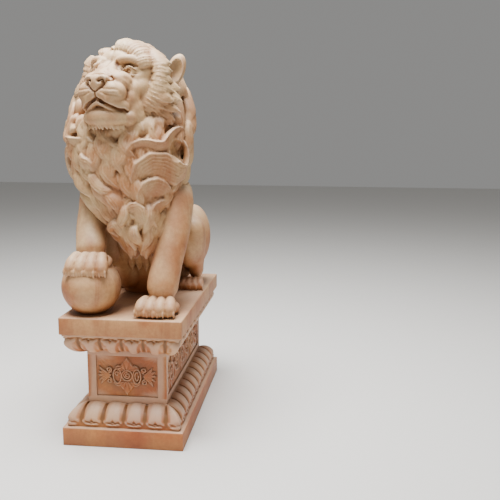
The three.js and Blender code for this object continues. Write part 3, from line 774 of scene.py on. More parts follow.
# %% Paws, and the tuft of the tail
def paw(centre, half_width, reach, arch, fan=0.0):
    x, y, z = centre
    pitch = half_width * 2 / 4
    forms = []
    for i in (-1.5, -0.5, 0.5, 1.5):
        ahead = reach * (1 - 0.08 * abs(i) - 0.02 * i)
        line = [(x + i * pitch * (0.7 + (0.24 + fan) * a), y - ahead * a, z + up) for a, up in arch]
        wide = np.array([0.4, 0.5, 0.46, 0.56, 0.54, 0.4]) * pitch
        forms.append(limb(line, wide, wide * 1.05, (0, -0.5, 1)))
        forms.append(mass(np.array(line[1]) + (0, -4, 4), (pitch * 0.44, pitch * 0.42, pitch * 0.4)))
        tip = np.array(line[-1])
        for k, side in enumerate((-0.4, -0.16, 0.08, 0.32)):
            hair = [tip + (side * pitch * 0.8, 20, 34 - 4 * (k % 2)), tip + (side * pitch, -6, 14),
                    tip + (side * pitch * 1.1, -2, -14 - 5 * (k % 2))]
            forms.append(drawn(hair_ball, hair, [5, 7, 7, 3], [6, 9, 8, 3], (0, -1, 0.3)))
    return forms


standing = [(0, 6), (0.3, 26), (0.55, 22), (0.82, 2), (0.97, -26)]
over_ball = [(0, 20), (0.3, 38), (0.55, 28), (0.82, -4), (0.97, -34)]
low = [(0, 2), (0.3, 16), (0.55, 12), (0.82, -2), (0.97, -22)]


def paws():
    return [
        *paw((166, -438, 46), 108, 112, standing),
        *paw((-168, -455, 250), 108, 112, over_ball, 0.06),
        *paw((-228, 165, 36), 74, 86, low),
        *paw((228, 165, 36), 74, 86, low),
    ]


def tail_tuft():
    return bundle([(-274, 170, 40), (-272, 90, 42), (-264, 0, 38), (-252, -68, 26)], 80, 66, (0, 0, 1),
                  strands=5, widths=[0.4, 0.8, 1, 1, 0.8, 0.5, 0.25])


carving += paws() + tail_tuft()
print("with the paws,", len(carving), "forms")

# %% [markdown]
# An eye is a ball behind two lids. Both lids start in the inner corner and meet again in the outer
# one, the upper one in the higher arch. The lower lip is one roll from corner to corner.

# %% Eyes and lower lip
def eye(s):
    return [
        mass((s * 97, -104, 24), (27, 25, 20)),
        drawn(hair_ball, flipped(s, [(66, -124, 12), (78, -131, 33), (97, -132, 42), (117, -118, 36),
                                     (132, -98, 20)]),
              [5, 8, 8, 7, 4], [7, 9, 10, 9, 5], (0, -1, 0)),
        drawn(hair_ball, flipped(s, [(66, -124, 12), (80, -130, 5), (97, -130, 3), (116, -115, 8),
                                     (132, -98, 20)]),
              [5, 6, 7, 6, 4], [7, 8, 9, 8, 5], (0, -1, 0)),
    ]


lower_lip = limb([(-114, -116, -184), (-84, -176, -184), (-44, -210, -170), (0, -224, -156),
                  (44, -210, -170), (84, -176, -184), (114, -116, -184)],
                 [6, 9, 10, 10, 10, 9, 6], [8, 12, 14, 14, 14, 12, 8], (0, -1, 0))
carving += [in_place(form) for form in (*eye(-1), *eye(1), lower_lip)]
print("with the eyes,", len(carving), "forms")

# %% [markdown]
# Long plain hair hangs on the belly between the forelegs. The ball lies under the paw on the
# viewer's left. Then the body, the face and the carving become one skin.

# %% Belly hair, the ball, and all of it in one skin
ball_radius = 147


def belly_hair():
    forms = []
    for k, x in enumerate((-96, -58, -20, 18, 56, 94)):
        points = [(x * 0.8 + 12, -262, 440), (x * 0.95 + 4, -228, 350), (x + 10, -172, 240),
                  (x * 1.05, -112, 130)]
        forms += bundle(points, 66, 36, (x / 300, -1, -0.4), strands=6, turn=k)
    return forms


carving += belly_hair() + [mass((-178, -440, 135), (ball_radius, ball_radius, ball_radius))]
carved = mesh_piece("lion_carved", carving)
print("hair and paws", len(carved.data.polygons), "triangles before the skin is made")
bpy.ops.object.select_all(action="DESELECT")
for part in (body, skull, carved):
    part.select_set(True)
bpy.context.view_layer.objects.active = carved
bpy.ops.object.join()
one_skin(carved, voxel_mm=3.6, smoothing=1)
print("lion", len(carved.data.polygons), "faces")

# %% [markdown]
# Some lines are cut into the finished skin instead of being modelled. The skin is pushed along its
# own normals, by an amount that falls off with the distance to a line.

# %% Normals of the skin, and distances to a line
def skin_normals(places, triangles):
    a, b, c = (places[triangles[:, k]] for k in range(3))
    face_normals = np.cross(b - a, c - a)
    normals = np.stack([
        sum(np.bincount(triangles[:, k], face_normals[:, axis], len(places)) for k in range(3))
        for axis in range(3)
    ], 1)
    return unit(normals)


def distance_to_line(points, line):
    best = np.full(len(points), 1e9)
    line = np.asarray(line, float)
    for a, b in zip(line[:-1], line[1:]):
        along = b - a
        share = np.clip(((points - a) @ along) / (along @ along), 0, 1)
        best = np.minimum(best, np.linalg.norm(points - (a + share[:, None] * along), axis=1))
    return best


def smooth_line(points, count=24):
    return curve(points, np.linspace(0, 1, count))[0]


print("a point 3 mm beside a line", distance_to_line(np.array([[5.0, 3.0]]), [(0, 0), (10, 0)]))

# %% [markdown]
# The lines are drawn on the face as seen from the front, for the viewer's right half: the mouth,
# the nostrils, the rims of the eyes and whisker furrows. A cut is deepest in the middle of its line.

# %% Lines on the face
face_cuts = [
    # line of (x, z) on the face, half width, depth
    ([(0, -108), (0, -124), (0, -138)], 5, 9),
    ([(0, -138), (22, -149), (50, -164), (80, -176), (105, -182), (120, -178)], 5.5, 17),
    ([(26, -62), (34, -54), (46, -58), (43, -68)], 8.5, 21),
    ([(0, -20), (22, -19), (44, -24), (60, -32)], 4, 4),
    ([(60, -26), (70, -42), (62, -62), (38, -84), (8, -108)], 5, 8),
    ([(97, 31), (104, 24), (97, 16), (89, 20), (90, 29), (97, 32)], 3, 3.5),
    ([(70, 15), (84, 9), (104, 8), (130, 16)], 3.5, 5),
    ([(70, 18), (84, 38), (104, 40), (128, 28)], 3.5, 5),
    ([(34, 62), (46, 50), (58, 30)], 9, 12),
    ([(64, 60), (98, 64), (134, 52)], 6, 3),
    ([(40, -92), (72, -98), (108, -96)], 5, 3.5),
    ([(34, -112), (62, -122), (104, -124)], 5, 4),
    ([(76, -40), (98, -58), (114, -84), (120, -112)], 8, 6),
    ([(118, -26), (134, -46), (136, -72)], 8, 5),
    ([(-1, 40), (0, 80), (0, 124)], 8, 6),
    ([(20, 20), (34, 6), (50, -2)], 5, 4),
    ([(18, 2), (32, -10), (50, -18)], 5, 4),
]


def cut_face(places, normals):
    moved = places.copy()
    seen = in_head(places)
    near = (seen[:, 1] < -40) & (np.abs(seen[:, 0]) < 170) & (seen[:, 2] > -290) & (seen[:, 2] < 170)
    facing = np.clip(-(normals @ head_turn)[:, 1] * 3, 0, 1)
    index = np.flatnonzero(near & (facing > 0))
    flat = seen[index][:, [0, 2]]
    flat[:, 0] = np.abs(flat[:, 0])
    push = np.zeros(len(index))
    for line, half_width, depth in face_cuts:
        gap = distance_to_line(flat, smooth_line(line))
        push -= depth * np.exp(-(gap / half_width) ** 2)
    moved[index] += normals[index] * (push * facing[index])[:, None]
    return moved


print("cut", len(face_cuts), "lines into each half of the face")

# %% [markdown]
# Two rolls of hair on the shoulders and the shells of the ears are hollow. Each hollow is pressed
# in like a bowl: deepest in the middle, with nothing at its rim.

# %% Hollow rolls and ears
rolls = [
    # middle of the opening, the way it is pressed in, radii across and upright, depth
    ((244, -352, 808), (-0.35, 0.9, 0.1), 40, 56, 44),
    ((-322, -330, 744), (0.75, 0.6, 0.0), 26, 44, 60),
]


def cup_rolls(places):
    moved = places.copy()
    for centre, inward, across, upright, depth in rolls:
        inward = unit(np.array(inward))
        off = places - centre
        aside = off @ unit(np.array([inward[1], -inward[0], 0]))
        share = np.hypot(aside / across, off[:, 2] / upright)
        near = np.abs(off @ inward) < 75
        moved += (depth * np.clip(1 - share**2, 0, 1) * near)[:, None] * inward
    return moved


def cup_ears(places):
    moved = places.copy()
    seen = in_head(places)
    for s in (-1, 1):
        turn = turned((6, s * 16, s * 24))
        local = (seen - flipped(s, ear_centre)) @ turn / ear_radii
        share = np.hypot(local[:, 0], local[:, 2] + 0.08) / 0.74
        push = 30 * np.clip(1 - share**2, 0, 1) * ((local[:, 1] < 0.1) & (local[:, 1] > -1.4))
        moved += (push[:, None] * turn[:, 1]) @ head_turn.T
    return moved


places = places_of(carved)
triangles = triangles_of(carved)
places = cup_rolls(cup_ears(cut_face(places, skin_normals(places, triangles))))
print("hollowed", len(rolls), "rolls and 2 ears")

# %% [markdown]
# Dirt gathers in hollows and hands polish what stands out. Both are measured on the fine skin: a place that
# lies below its surroundings is a hollow. It is done at two sizes, for the grooves between strands, which
# hold dirt, and for the deep folds between locks, which hold dirt and painted shade, and is kept with the
# mesh. On the nose the stone is stained as in a fold, and painted shade is added under it, in the middle of
# the mouth, as in a fold.

# %% Hollows at two sizes
def edges_of(triangles):
    pairs = np.concatenate([triangles[:, [0, 1]], triangles[:, [1, 2]], triangles[:, [2, 0]]])
    return np.concatenate([pairs, pairs[:, ::-1]])


def averaged(values, pairs, times):
    count = np.maximum(np.bincount(pairs[:, 0], minlength=len(values)), 1)
    for _ in range(times):
        values = np.stack([
            np.bincount(pairs[:, 0], values[pairs[:, 1], k], len(values)) / count
            for k in range(values.shape[1])
        ], 1)
    return values


def hollows(places, triangles, near_steps=3, far_steps=22, normal_steps=6):
    pairs = edges_of(triangles)
    normals = skin_normals(places, triangles)
    near = averaged(places, pairs, near_steps)
    far = averaged(near, pairs, far_steps)
    groove = ((near - places) * normals).sum(1)
    fold = ((far - places) * unit(averaged(normals, pairs, normal_steps))).sum(1)
    return groove, fold


stain_and_painted_shade = [
    # place in the head, radii, strength
    # a stain on the nose
    ((0, -256, -60), (44, 40, 30), 7.5),
    # painted shade under the nose, in the middle of the mouth
    ((0, -240, -128), (26, 30, 16), 5.0),
]
groove, fold = hollows(places, triangles)
seen = in_head(places)
for centre, radii, strength in stain_and_painted_shade:
    fold += strength * np.exp(-(((seen - centre) / radii) ** 2).sum(1))
print("grooves", np.percentile(groove, [5, 50, 95]).round(2))
print("folds", np.percentile(fold, [5, 50, 95]).round(2))

# %% [markdown]
# The fine skin has far more faces than it needs on smooth places. Collapsing edges takes them away
# where the surface is flat and keeps them on the ridges. The lion is then cut off a little inside
# the slab, so that the two can be joined.

# %% Fewer faces
most_triangles = 185000
slab_bottom = slab_low.z * 1000
slab_thickness = 88
buried = 8


def thinned(piece):
    return applied(piece, "DECIMATE", ratio=min(1.0, most_triangles / len(triangles_of(piece))))


def cut_below(piece, height):
    only(piece)
    edited(bpy.ops.mesh.bisect, plane_co=(0, 0, height), plane_no=(0, 0, 1), use_fill=True, clear_inner=True)


places[:, 2] += slab_bottom + slab_thickness
fine_places = set_places(carved, places)
thinned(carved)
cut_below(carved, slab_low.z + (slab_thickness - buried) * mm)
print("the lion has", len(carved.data.polygons), "faces")

# %% [markdown]
# The slab is a block with a small bevel. A union makes one closed skin of the lion and the slab.

# %% The slab
def block(name, size, centre, edge):
    piece = primitive(bpy.ops.mesh.primitive_cube_add, size=1)
    piece.name = name
    piece.scale = np.array(size) * mm
    piece.location = np.array(centre) * mm
    bpy.ops.object.transform_apply(location=True, rotation=True, scale=True)
    return applied(piece, "BEVEL", width=edge * mm, segments=3, limit_method="ANGLE")


def joined(piece, others):
    for other in others:
        applied(piece, "BOOLEAN", object=other, operation="UNION", solver="MANIFOLD")
        bpy.data.meshes.remove(other.data)
    return piece


slab = block("slab", (613, 1143, slab_thickness), (0, 0, slab_bottom + slab_thickness / 2), 6)
joined(carved, [slab])
print("lion and slab", len(carved.data.polygons), "faces")

# %% [markdown]
# The hollows were measured on the fine skin. Each place of the smaller mesh takes the values of the
# nearest fine place. The slab's own places have none near, and stay clean.

# %% Carry the hollows over to the smaller mesh
def carried(piece, places, groove, fold, furthest=12):
    tree = KDTree(len(places))
    for i, place in enumerate(places):
        tree.insert(place, i)
    tree.balance()
    found = [tree.find(v.co) for v in piece.data.vertices]
    index = np.array([f[1] for f in found])
    far_away = np.array([f[2] for f in found]) > furthest * mm
    for name, values in (("groove", groove), ("fold", fold)):
        attribute = piece.data.attributes.new(name, "FLOAT", "POINT")
        attribute.data.foreach_set("value", np.where(far_away, 0, values[index]).astype(np.float32))
    return len(found)


print("carried hollows to", carried(carved, fine_places, groove, fold), "places")

# %% [markdown]
# The pedestal is a second block: a base, a moulding of tongues, a die with four carved panels, and
# a moulding of eggs under the slab. Each moulding is modelled as one ring. Its section is a quarter
# round that carries the carving and then runs back inside the die, so that the ring is closed.
# Every column of the ring knows its side, its place along it, and where it lies in its tongue.

# %% The columns of a moulding
die_half = (204, 469)
reach = 92
spread_at_rim = 16
corner_lean = spread_at_rim / reach
cell_columns = 26
carved_rows = 30
# shares of the reach and of the height, for the rows that run back inside the die
hidden = [(0.95, 1.03), (0.4, 1.03), (-0.2, 1.03), (-0.2, 0.5), (-0.2, 0.12)]


def side_columns(side, cell_width=50):
    half = die_half[side % 2]
    cells = 2 * round(half / (2 * cell_width))
    columns = []
    for k in range(cell_columns // 2):
        share = 2 * k / cell_columns
        columns.append((side, -half, 1 - (1 - corner_lean) * share, share, 0))
    for k in range(cells * cell_columns):
        at = half * (2 * k / (cells * cell_columns) - 1)
        u = 2 * (k % cell_columns) / cell_columns - 1
        columns.append((side, at, corner_lean * abs(at) / half, u, half / cells))
    for k in range(cell_columns // 2):
        share = 2 * k / cell_columns
        columns.append((side, half, corner_lean + (1 - corner_lean) * share, share - 1, 0))
    return columns


print("a front has", len(side_columns(0)), "columns and a long side has", len(side_columns(1)))

# %% [markdown]
# A tongue is a dome with straight flanks and a round foot, inside a raised rim. A small point
# stands between the feet of two tongues. Its height is worked out from the distance to its edge.

# %% A tongue, and the ring that carries it
def tongues(u, half, y, end, taper):
    x = np.abs(u) * half
    width = half * (0.67 - taper * (1 - y / end))
    foot = end - 9 * np.exp(-((x / (0.14 * half)) ** 2))
    corner = 0.38 * half
    to_side, to_foot = x - (width - corner), y - (foot - corner)
    inside = corner - np.hypot(np.maximum(to_side, 0), np.maximum(to_foot, 0))
    inside -= np.minimum(np.maximum(to_side, to_foot), 0)
    dome = 13 * np.sqrt(1 - (1 - np.clip(inside / corner, 0, 1)) ** 2)
    rim = 8 * np.exp(-(((inside + 0.18 * half) / (0.075 * half)) ** 2))
    point = 5 * np.clip(1 - (x / 11) - np.abs(y - end - 12) / 9, 0, 1)
    return np.maximum(dome, np.maximum(rim, point)) - 12


def modelled_ring(columns, rows):
    return primitive(bpy.ops.mesh.primitive_torus_add, major_segments=columns, minor_segments=rows,
                     major_radius=2, minor_radius=1)


def on_side(side, x, y, z):
    spin = side * math.pi / 2
    return np.stack([x * np.cos(spin) - y * np.sin(spin), x * np.sin(spin) + y * np.cos(spin), z], 1)


def facing_out(piece):
    only(piece)
    edited(bpy.ops.mesh.normals_make_consistent, inside=False)
    return piece


def moulding(name, z_die, z_rim, end, taper):
    columns = [column for side in range(4) for column in side_columns(side)]
    rows = carved_rows + len(hidden)
    ring = modelled_ring(len(columns), rows)
    places = np.array([v.co for v in ring.data.vertices])
    around = np.arctan2(places[:, 1], places[:, 0]) / (2 * math.pi) % 1
    section = np.arctan2(places[:, 2], np.hypot(places[:, 0], places[:, 1]) - 2) / (2 * math.pi) % 1
    column = np.round(around * len(columns)).astype(int) % len(columns)
    row = np.round(section * rows).astype(int) % rows
    side, at, lean, u, cell = np.array(columns, float)[column].T
    turn = np.minimum(row / (carved_rows - 1), 1) * math.pi / 2
    tall = z_rim - z_die
    arc = math.hypot(reach, tall) * 1.11
    out = reach * np.sin(turn)
    half = np.where(cell > 0, cell * (1 + corner_lean * out / 300), (reach - spread_at_rim) * out / reach)
    carve = tongues(u, np.maximum(half, 1), arc * turn / (math.pi / 2), end * arc, taper)
    carve *= np.clip(half / 25, 0, 1)
    out += carve * np.sin(turn)
    z = z_die + tall * (1 - np.cos(turn)) + np.where(tall < 0, 1, -1) * carve * np.cos(turn)
    for k, (share, down) in enumerate(hidden):
        here = row == carved_rows + k
        out[here] = reach * share
        z[here] = z_die + tall * down
    x = at + np.sign(at) * lean * np.abs(out)
    y = -(np.where(side % 2 == 0, die_half[1], die_half[0]) + out)
    ring.name = name
    set_places(ring, on_side(side, x, y, z))
    return facing_out(ring)


lower_moulding = moulding("lower_moulding", 200, 93, 0.83, 0.06)
upper_moulding = moulding("upper_moulding", 464, 570, 0.9, 0.2)
print("a moulding has", len(lower_moulding.data.polygons), "faces")

# %% [markdown]
# The panels are low relief. Each is a fine sheet with a thickness, whose front is raised by the
# drawing of the carving: strokes with round backs, leaves with a vein, and shell flutes.

# %% Strokes, leaves and scrolls
def spiral(x, z, outer, inner, start, turns, count=26):
    turn = math.radians(start) + np.linspace(0, turns, count) * 2 * math.pi
    radius = np.linspace(outer, inner, count)
    return np.stack([x + radius * np.cos(turn), z + radius * np.sin(turn)], 1)


def oval(x, z, a, b, start=0, share=1.0):
    turn = math.radians(start) + np.linspace(0, share * 2 * math.pi, 28)
    return np.stack([x + a * np.cos(turn), z + b * np.sin(turn)], 1)


def stroke(at, line, half_width, height):
    return height * np.sqrt(np.clip(1 - (distance_to_line(at, line) / half_width) ** 2, 0, 1))


def leaf(at, root, tip, width, height, bow=0.0):
    root, tip = np.array(root, float), np.array(tip, float)
    along = tip - root
    length = np.linalg.norm(along)
    along /= length
    t = ((at - root) @ along) / length
    off = (at - root) @ np.array([-along[1], along[0]]) - bow * np.sin(math.pi * np.clip(t, 0, 1))
    half = width / 2 * np.sin(math.pi * np.clip(t, 0, 1) ** 0.75)
    body = np.sqrt(np.clip(1 - (off / np.maximum(half, 0.5)) ** 2, 0, 1)) * (t > 0) * (t < 1)
    return height * body * (1 - 0.35 * np.exp(-((off / 1.8) ** 2)))


def raised(height, marks):
    return np.maximum.reduce([height, *marks])


flat = np.array([[0.0, 0.0]])
print("a stroke's back stands", stroke(flat, [(-9, 0), (9, 0)], 5.5, 13)[0], "mm high")

# %% [markdown]
# The front panel has a lozenge with shell flutes in its points, ovals and a coil in the middle,
# scrolls at both ends, and a fan of leaves that grows out of each end.

# %% The drawing on the front
middle_lines = [
    oval(2, 6, 27, 27), spiral(2, 6, 19, 4, 90, 1.6), oval(-49, 2, 21, 38),
    spiral(-50, 14, 13, 4, 0, 1.2), oval(52, 1, 20, 38), oval(52, 3, 9, 22, 60, 0.85),
]
scrolls = [(-93, 33, -90, 1.3), (-90, -24, 90, -1.3), (88, 33, -90, -1.3), (92, -28, 90, 1.3)]
fans = [
    # root, tips
    ((-82, 4), ((-146, 52), (-152, 26), (-156, 2), (-150, -26), (-138, -50))),
    ((84, 2), ((134, 54), (152, 34), (157, 6), (150, -24), (138, -56))),
]


def front_relief(at):
    x, z = at[:, 0], at[:, 1]
    inside = np.clip((1 - np.abs(x) / 80 - np.abs(z) / 106) * 9, 0, 1)
    height = 5 * inside
    for s in (-1, 1):
        angle = np.arctan2(x, np.maximum(s * z - 20, 1))
        height += 5 * np.abs(np.cos(angle * 5.5)) ** 0.6 * inside * (s * z > 30)
        height = raised(height, [leaf(at, (s * 24, -40), (s * 72, -34), 26, 12, -s * 6),
                                 leaf(at, (s * 24, 46), (s * 66, 40), 24, 11, s * 6)])
    height = raised(height, [stroke(at, line, 5.5, 13) for line in middle_lines])
    height = raised(height, [stroke(at, spiral(x0, z0, 15, 4, start, turns), 4.8, 10)
                             for x0, z0, start, turns in scrolls])
    return raised(height, [leaf(at, root, tip, 21, 9, (k - 2) * 4 * np.sign(root[0]))
                           for root, tips in fans for k, tip in enumerate(tips)])


print("the front's relief is", front_relief(np.array(middle_lines[0])).max().round(1), "mm high")

# %% [markdown]
# The long sides carry a running vine: six scrolls that turn up and down by turns, each with a bud
# in its middle and two rounds of leaves.

# %% The drawing on the sides
def side_relief(at):
    height = np.zeros(len(at))
    for k in range(6):
        s = 1 if k % 2 else -1
        x0, z0 = -350 + 140 * k, s * 12
        marks = [stroke(at, spiral(x0, z0, 62, 10, -s * 150, s * 1.5, 40), 7, 11),
                 stroke(at, oval(x0, z0, 7, 7), 6, 12)]
        for j in range(7):
            turn = math.radians(j * 51 + k * 20)
            ahead, above = math.cos(turn), math.sin(turn)
            tip = (x0 + 84 * math.cos(turn + 0.4), z0 + 92 * math.sin(turn + 0.4))
            marks.append(leaf(at, (x0 + 40 * ahead, z0 + 40 * above), tip, 30, 9, 6))
            root, bend = (x0 + 12 * ahead, z0 + 12 * above), (x0 + 30 * ahead, z0 + 30 * above)
            marks.append(leaf(at, root, bend, 12, 8))
        height = raised(height, marks)
    return height


print("a scroll's relief is", side_relief(np.array(oval(-350, -12, 7, 7))).max().round(1), "mm high")

# %% [markdown]
# A panel is a grid that is extruded into a sheet and closed at the back. Its front is moved out by
# the drawing, and its edge runs out flat under the posts and rails.

# %% The four panels
panel_middle = 337
recess = 9
inner_depth = 30


def panel(name, side, width, height, cell, drawing):
    sheet = primitive(bpy.ops.mesh.primitive_grid_add, x_subdivisions=round(width / cell),
                      y_subdivisions=round(height / cell), size=2)
    sheet.name = name
    bpy.ops.object.mode_set(mode="EDIT")
    bpy.ops.mesh.select_all(action="SELECT")
    bpy.ops.mesh.extrude_region_move(TRANSFORM_OT_translate={"value": (0, 0, 1)})
    bpy.ops.mesh.select_all(action="DESELECT")
    bpy.ops.mesh.select_non_manifold()
    bpy.ops.mesh.edge_face_add()
    bpy.ops.object.mode_set(mode="OBJECT")
    places = np.array([v.co for v in sheet.data.vertices])
    at = places[:, :2] * np.array([width, height]) / 2
    edge = np.clip(np.minimum(width / 2 - np.abs(at[:, 0]), height / 2 - np.abs(at[:, 1])) / 6, 0, 1)
    out = die_half[1 - side % 2] - recess + np.where(places[:, 2] > 0.5, drawing(at) * edge, -inner_depth)
    set_places(sheet, on_side(side, at[:, 0], -out, at[:, 1] + panel_middle))
    return facing_out(sheet)


short_panel = (326, 222, 2.5, front_relief)
long_panel = (856, 222, 3.4, side_relief)
panels = [panel(f"panel_{side}", side, *(long_panel if side % 2 else short_panel)) for side in range(4)]
print("panels", [len(p.data.polygons) for p in panels])

# %% [markdown]
# The plain members are blocks with a small bevel: the base, the core of the die, its corner posts
# and rails, which stand 9 mm proud of the panels, and the lip under the slab.

# %% The plain members
carved_parts = [lower_moulding, upper_moulding, *panels]
measured = [(places_of(part), *hollows(places_of(part), triangles_of(part))) for part in carved_parts]
pedestal = block("pedestal_carved", (614, 1144, 94), (0, 0, 47), 4)
corners = [(sx * 181.5, sy * 446.5, 332) for sx in (-1, 1) for sy in (-1, 1)]
plain_members = [
    block("core", (390, 920, 280), (0, 0, 332), 2),
    block("lower_rail", (408, 938, 40), (0, 0, 210), 3),
    block("upper_rail", (408, 938, 30), (0, 0, 459), 3),
    *[block("post", (45, 45, 284), corner, 3) for corner in corners],
]
lip = block("lip", (592, 1122, 10), (0, 0, 571), 1.5)
print("plain members", len(plain_members) + 2)

# %% [markdown]
# A union joins them to the mouldings and the panels, one after the other, into one closed skin. It
# is thinned as the lion was, and takes the hollows that were measured on the carved parts.

# %% The pedestal in one skin
joined(pedestal, [*plain_members, *carved_parts, lip])
thinned(pedestal)
fine_places, groove, fold = (np.concatenate(values) for values in zip(*measured))
carried(pedestal, fine_places * mm, groove, fold)
print("pedestal", len(pedestal.data.polygons), "faces")

# %% [markdown]
# Colours are written as on a screen and turned to linear light. One function adds a node: a setting
# is a property of the node, a number or colour for a socket, or another node's socket to link. A
# ramp's stops are pairs of a place and a colour, or a plain number for a grey.

# %% Colours and nodes
def linear(colour):
    if not isinstance(colour, str):
        return colour, colour, colour, 1
    parts = [int(colour[i:i + 2], 16) / 255 for i in (1, 3, 5)]
    return (*[c / 12.92 if c <= 0.04045 else ((c + 0.055) / 1.055) ** 2.4 for c in parts], 1)


def node(tree, kind, stops=(), **settings):
    made = tree.nodes.new(kind)
    for key, value in settings.items():
        if hasattr(made, key):
            setattr(made, key, value)
            continue
        socket = next(s for s in made.inputs if key in (s.identifier, s.name.replace(" ", "_")))
        if isinstance(value, bpy.types.NodeSocket):
            tree.links.new(value, socket)
        else:
            socket.default_value = linear(value) if isinstance(value, str) else value
    for _ in stops[2:]:
        made.color_ramp.elements.new(0.5)
    for k, (at, colour) in enumerate(stops):
        made.color_ramp.elements[k].position = at
        made.color_ramp.elements[k].color = linear(colour)
    return made


print("the stone's light beige in linear light", [round(c, 2) for c in linear("#D6B787")])

# %% [markdown]
# Marble is limestone that has grown into small crystals. This one is a pale beige stone with pinkish
# clouds and rusty veins, sawn, cut and rubbed by hand, so it is dull and has no gloss of polish.
# The clouds are about 300 mm across. The veins follow the bedding of the block as upright streaks,
# 110 mm apart and over 600 mm long. The crystals, a millimetre or two in the real stone, are drawn
# 17 mm wide, because they would be too fine to show.

# %% The stone
cloud_mm = 294.12
streak_mm = (111.11, 111.11, 625)
crystal_mm = 16.667
clouds = [(0.3, "#D6B787"), (0.46, "#C9A173"), (0.58, "#BC8455"), (0.72, "#A06036")]
veins = [(0.48, 0.0), (0.62, 0.5), (0.67, 0.25), (0.76, 0.7)]
crystals = [(0.35, "#C9B8A4"), (0.65, "#FFFFFF")]


def stone_and_painted_light_layers(tree, where, height):
    # Painted light and shade by height: the stone is painted darker and warmer towards its foot and paler
    # towards its top, as light from above falls on it.
    lower = node(tree, "ShaderNodeMapRange", Value=height, From_Min=1.1, From_Max=0.3).outputs[0]
    painted_light_high_up = node(tree, "ShaderNodeMapRange", Value=height, From_Min=1.35, From_Max=1.95,
                 To_Max=0.6).outputs[0]
    bedding = node(tree, "ShaderNodeMapping", Vector=where, Rotation=(0.12, -0.2, 0),
                   Scale=[1000 / size for size in streak_mm]).outputs[0]
    streaks = node(tree, "ShaderNodeTexNoise", Vector=bedding, Scale=1.0, Detail=5.0, Roughness=0.55,
                   Distortion=0.6).outputs["Fac"]
    vein = node(tree, "ShaderNodeValToRGB", veins, Fac=streaks).outputs["Color"]
    fine = node(tree, "ShaderNodeTexNoise", Vector=where, Scale=1000 / crystal_mm, Detail=4.0, Roughness=0.7)
    grain = node(tree, "ShaderNodeValToRGB", crystals, Fac=fine.outputs["Fac"]).outputs["Color"]
    return [
        # how much of it, the colour laid over, and how
        # painted shade, darker and warmer towards the foot
        (lower, "#EAB685", "MULTIPLY"),
        # painted light, paler towards the top
        (painted_light_high_up, "#C8AC83", "MIX"),
        (vein, "#9C5A33", "MIX"),
        (0.35, grain, "MULTIPLY"),
    ]


# %% [markdown]
# Years outdoors change the stone: ridges are rubbed pale, and brown dirt gathers in the grooves and in the
# folds. Light and shade are painted on as well: what faces up is painted paler as if lit from above, the
# deep folds get painted shade with their dirt, and wherever other forms shelter the stone it is painted dark
# brown as shade.

# %% The weather on it, with painted light and shade
def weather_and_painted_light_layers(tree):
    normal = node(tree, "ShaderNodeNewGeometry").outputs["Normal"]
    up = node(tree, "ShaderNodeSeparateXYZ", Vector=normal).outputs["Z"]
    groove_at = node(tree, "ShaderNodeAttribute", attribute_name="groove").outputs["Fac"]
    fold_at = node(tree, "ShaderNodeAttribute", attribute_name="fold").outputs["Fac"]
    spans = [
        # what is measured, from, to, the most that it covers, colour
        # painted light: what faces up is painted paler, as if lit from above
        (up, 0.1, 0.9, 0.3, "#E4D3B8"),
        (groove_at, -0.3, -1.8, 0.3, "#E6D2B8"),
        (groove_at, 0.3, 2.6, 1, "#7C5029"),
        # dirt and painted shade in the deep folds between locks
        (fold_at, 1.0, 14.0, 1, "#693F1E"),
    ]
    layers = []
    for measure, low, high, most, colour in spans:
        share = node(tree, "ShaderNodeMapRange", Value=measure, From_Min=low, From_Max=high, To_Max=most)
        layers.append((share.outputs[0], colour, "MIX"))
    # Painted shade: wherever other forms shelter the stone from the sky, it is painted dark brown.
    sheltered = node(tree, "ShaderNodeAmbientOcclusion", samples=8, Distance=0.16).outputs["AO"]
    painted_shade_where_sheltered = node(tree, "ShaderNodeValToRGB", [(0.15, 0.6), (0.85, 0.0)], Fac=sheltered).outputs["Color"]
    return [*layers, (painted_shade_where_sheltered, "#6E441F", "MIX")]
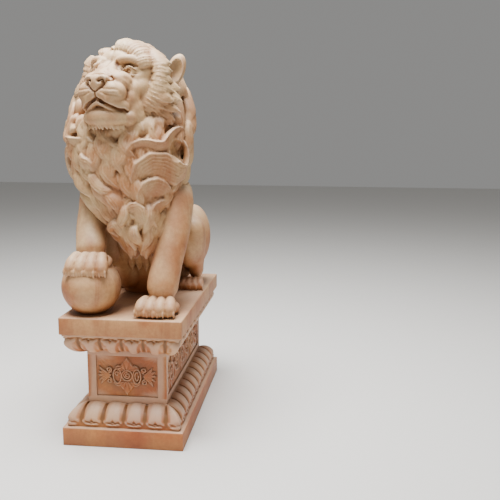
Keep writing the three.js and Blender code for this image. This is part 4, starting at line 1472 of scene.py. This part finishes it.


# %% [markdown]
# The layers are laid over the clouds one after the other: first the stone's own with the painted light and
# shade by height, then the weather with its painted light and shade. Every pattern reads the object's own
# places, so it stays on the stone from any side.

# %% The marble, on both pieces
def marble(name, roughness=0.55):
    material = bpy.data.materials.new(name)
    material.use_nodes = True
    tree = material.node_tree
    shader = tree.nodes["Principled BSDF"]
    shader.inputs["Roughness"].default_value = roughness
    where = node(tree, "ShaderNodeTexCoord").outputs["Object"]
    height = node(tree, "ShaderNodeSeparateXYZ", Vector=where).outputs["Z"]
    cloud = node(tree, "ShaderNodeTexNoise", Vector=where, Scale=1000 / cloud_mm, Detail=6.0, Roughness=0.62)
    colour = node(tree, "ShaderNodeValToRGB", clouds, Fac=cloud.outputs["Fac"]).outputs["Color"]
    for share, over, blend in stone_and_painted_light_layers(tree, where, height) + weather_and_painted_light_layers(tree):
        colour = node(tree, "ShaderNodeMix", data_type="RGBA", blend_type=blend, Factor_Float=share,
                      A_Color=colour, B_Color=over).outputs[2]
    tree.links.new(colour, shader.inputs["Base Color"])
    return material


smooth_below = math.radians(42)
stone = marble("pink_beige_marble")
for piece, solid in ((carved, "lion_with_ball_and_slab"), (pedestal, "pedestal")):
    piece.data.materials.clear()
    piece.data.materials.append(stone)
    only(piece)
    bpy.ops.object.shade_smooth_by_angle(angle=smooth_below)
    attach(piece, "root")
    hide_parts(solid)
print("the marble has", len(stone.node_tree.nodes), "nodes")

# %% [markdown]
# A plain pale floor and soft light from above and a little in front, as on a bright overcast day. A
# weak second lamp and the pale sky fill the shadows.

# %% Floor and light
floor = primitive(bpy.ops.mesh.primitive_plane_add, size=40, location=(0, 0, 0))
floor.name = "floor"
plain = bpy.data.materials.new("plain_pale_floor")
plain.use_nodes = True
plain.node_tree.nodes["Principled BSDF"].inputs["Base Color"].default_value = linear("#DDDBD7")
plain.node_tree.nodes["Principled BSDF"].inputs["Roughness"].default_value = 0.9
floor.data.materials.append(plain)


def lamp(name, place, target, size, power):
    light = bpy.data.objects.new(name, bpy.data.lights.new(name, "AREA"))
    light.data.size = size
    light.data.energy = power
    light.location = place
    light.rotation_euler = (Vector(place) - Vector(target)).to_track_quat("Z", "Y").to_euler()
    bpy.context.scene.collection.objects.link(light)
    return light


lamp("sky_light", (-0.15, -0.85, 5.5), (0, -0.1, 1.1), 2.8, 860)
lamp("fill", (-3.4, -4.2, 2.4), (0, 0, 1.1), 3.0, 8)
world = bpy.data.worlds.new("sky")
world.use_nodes = True
world.node_tree.nodes["Background"].inputs["Color"].default_value = linear("#F4F3F1")
world.node_tree.nodes["Background"].inputs["Strength"].default_value = 0.3
bpy.context.scene.world = world
print("lamps", [light.name for light in bpy.data.lights])
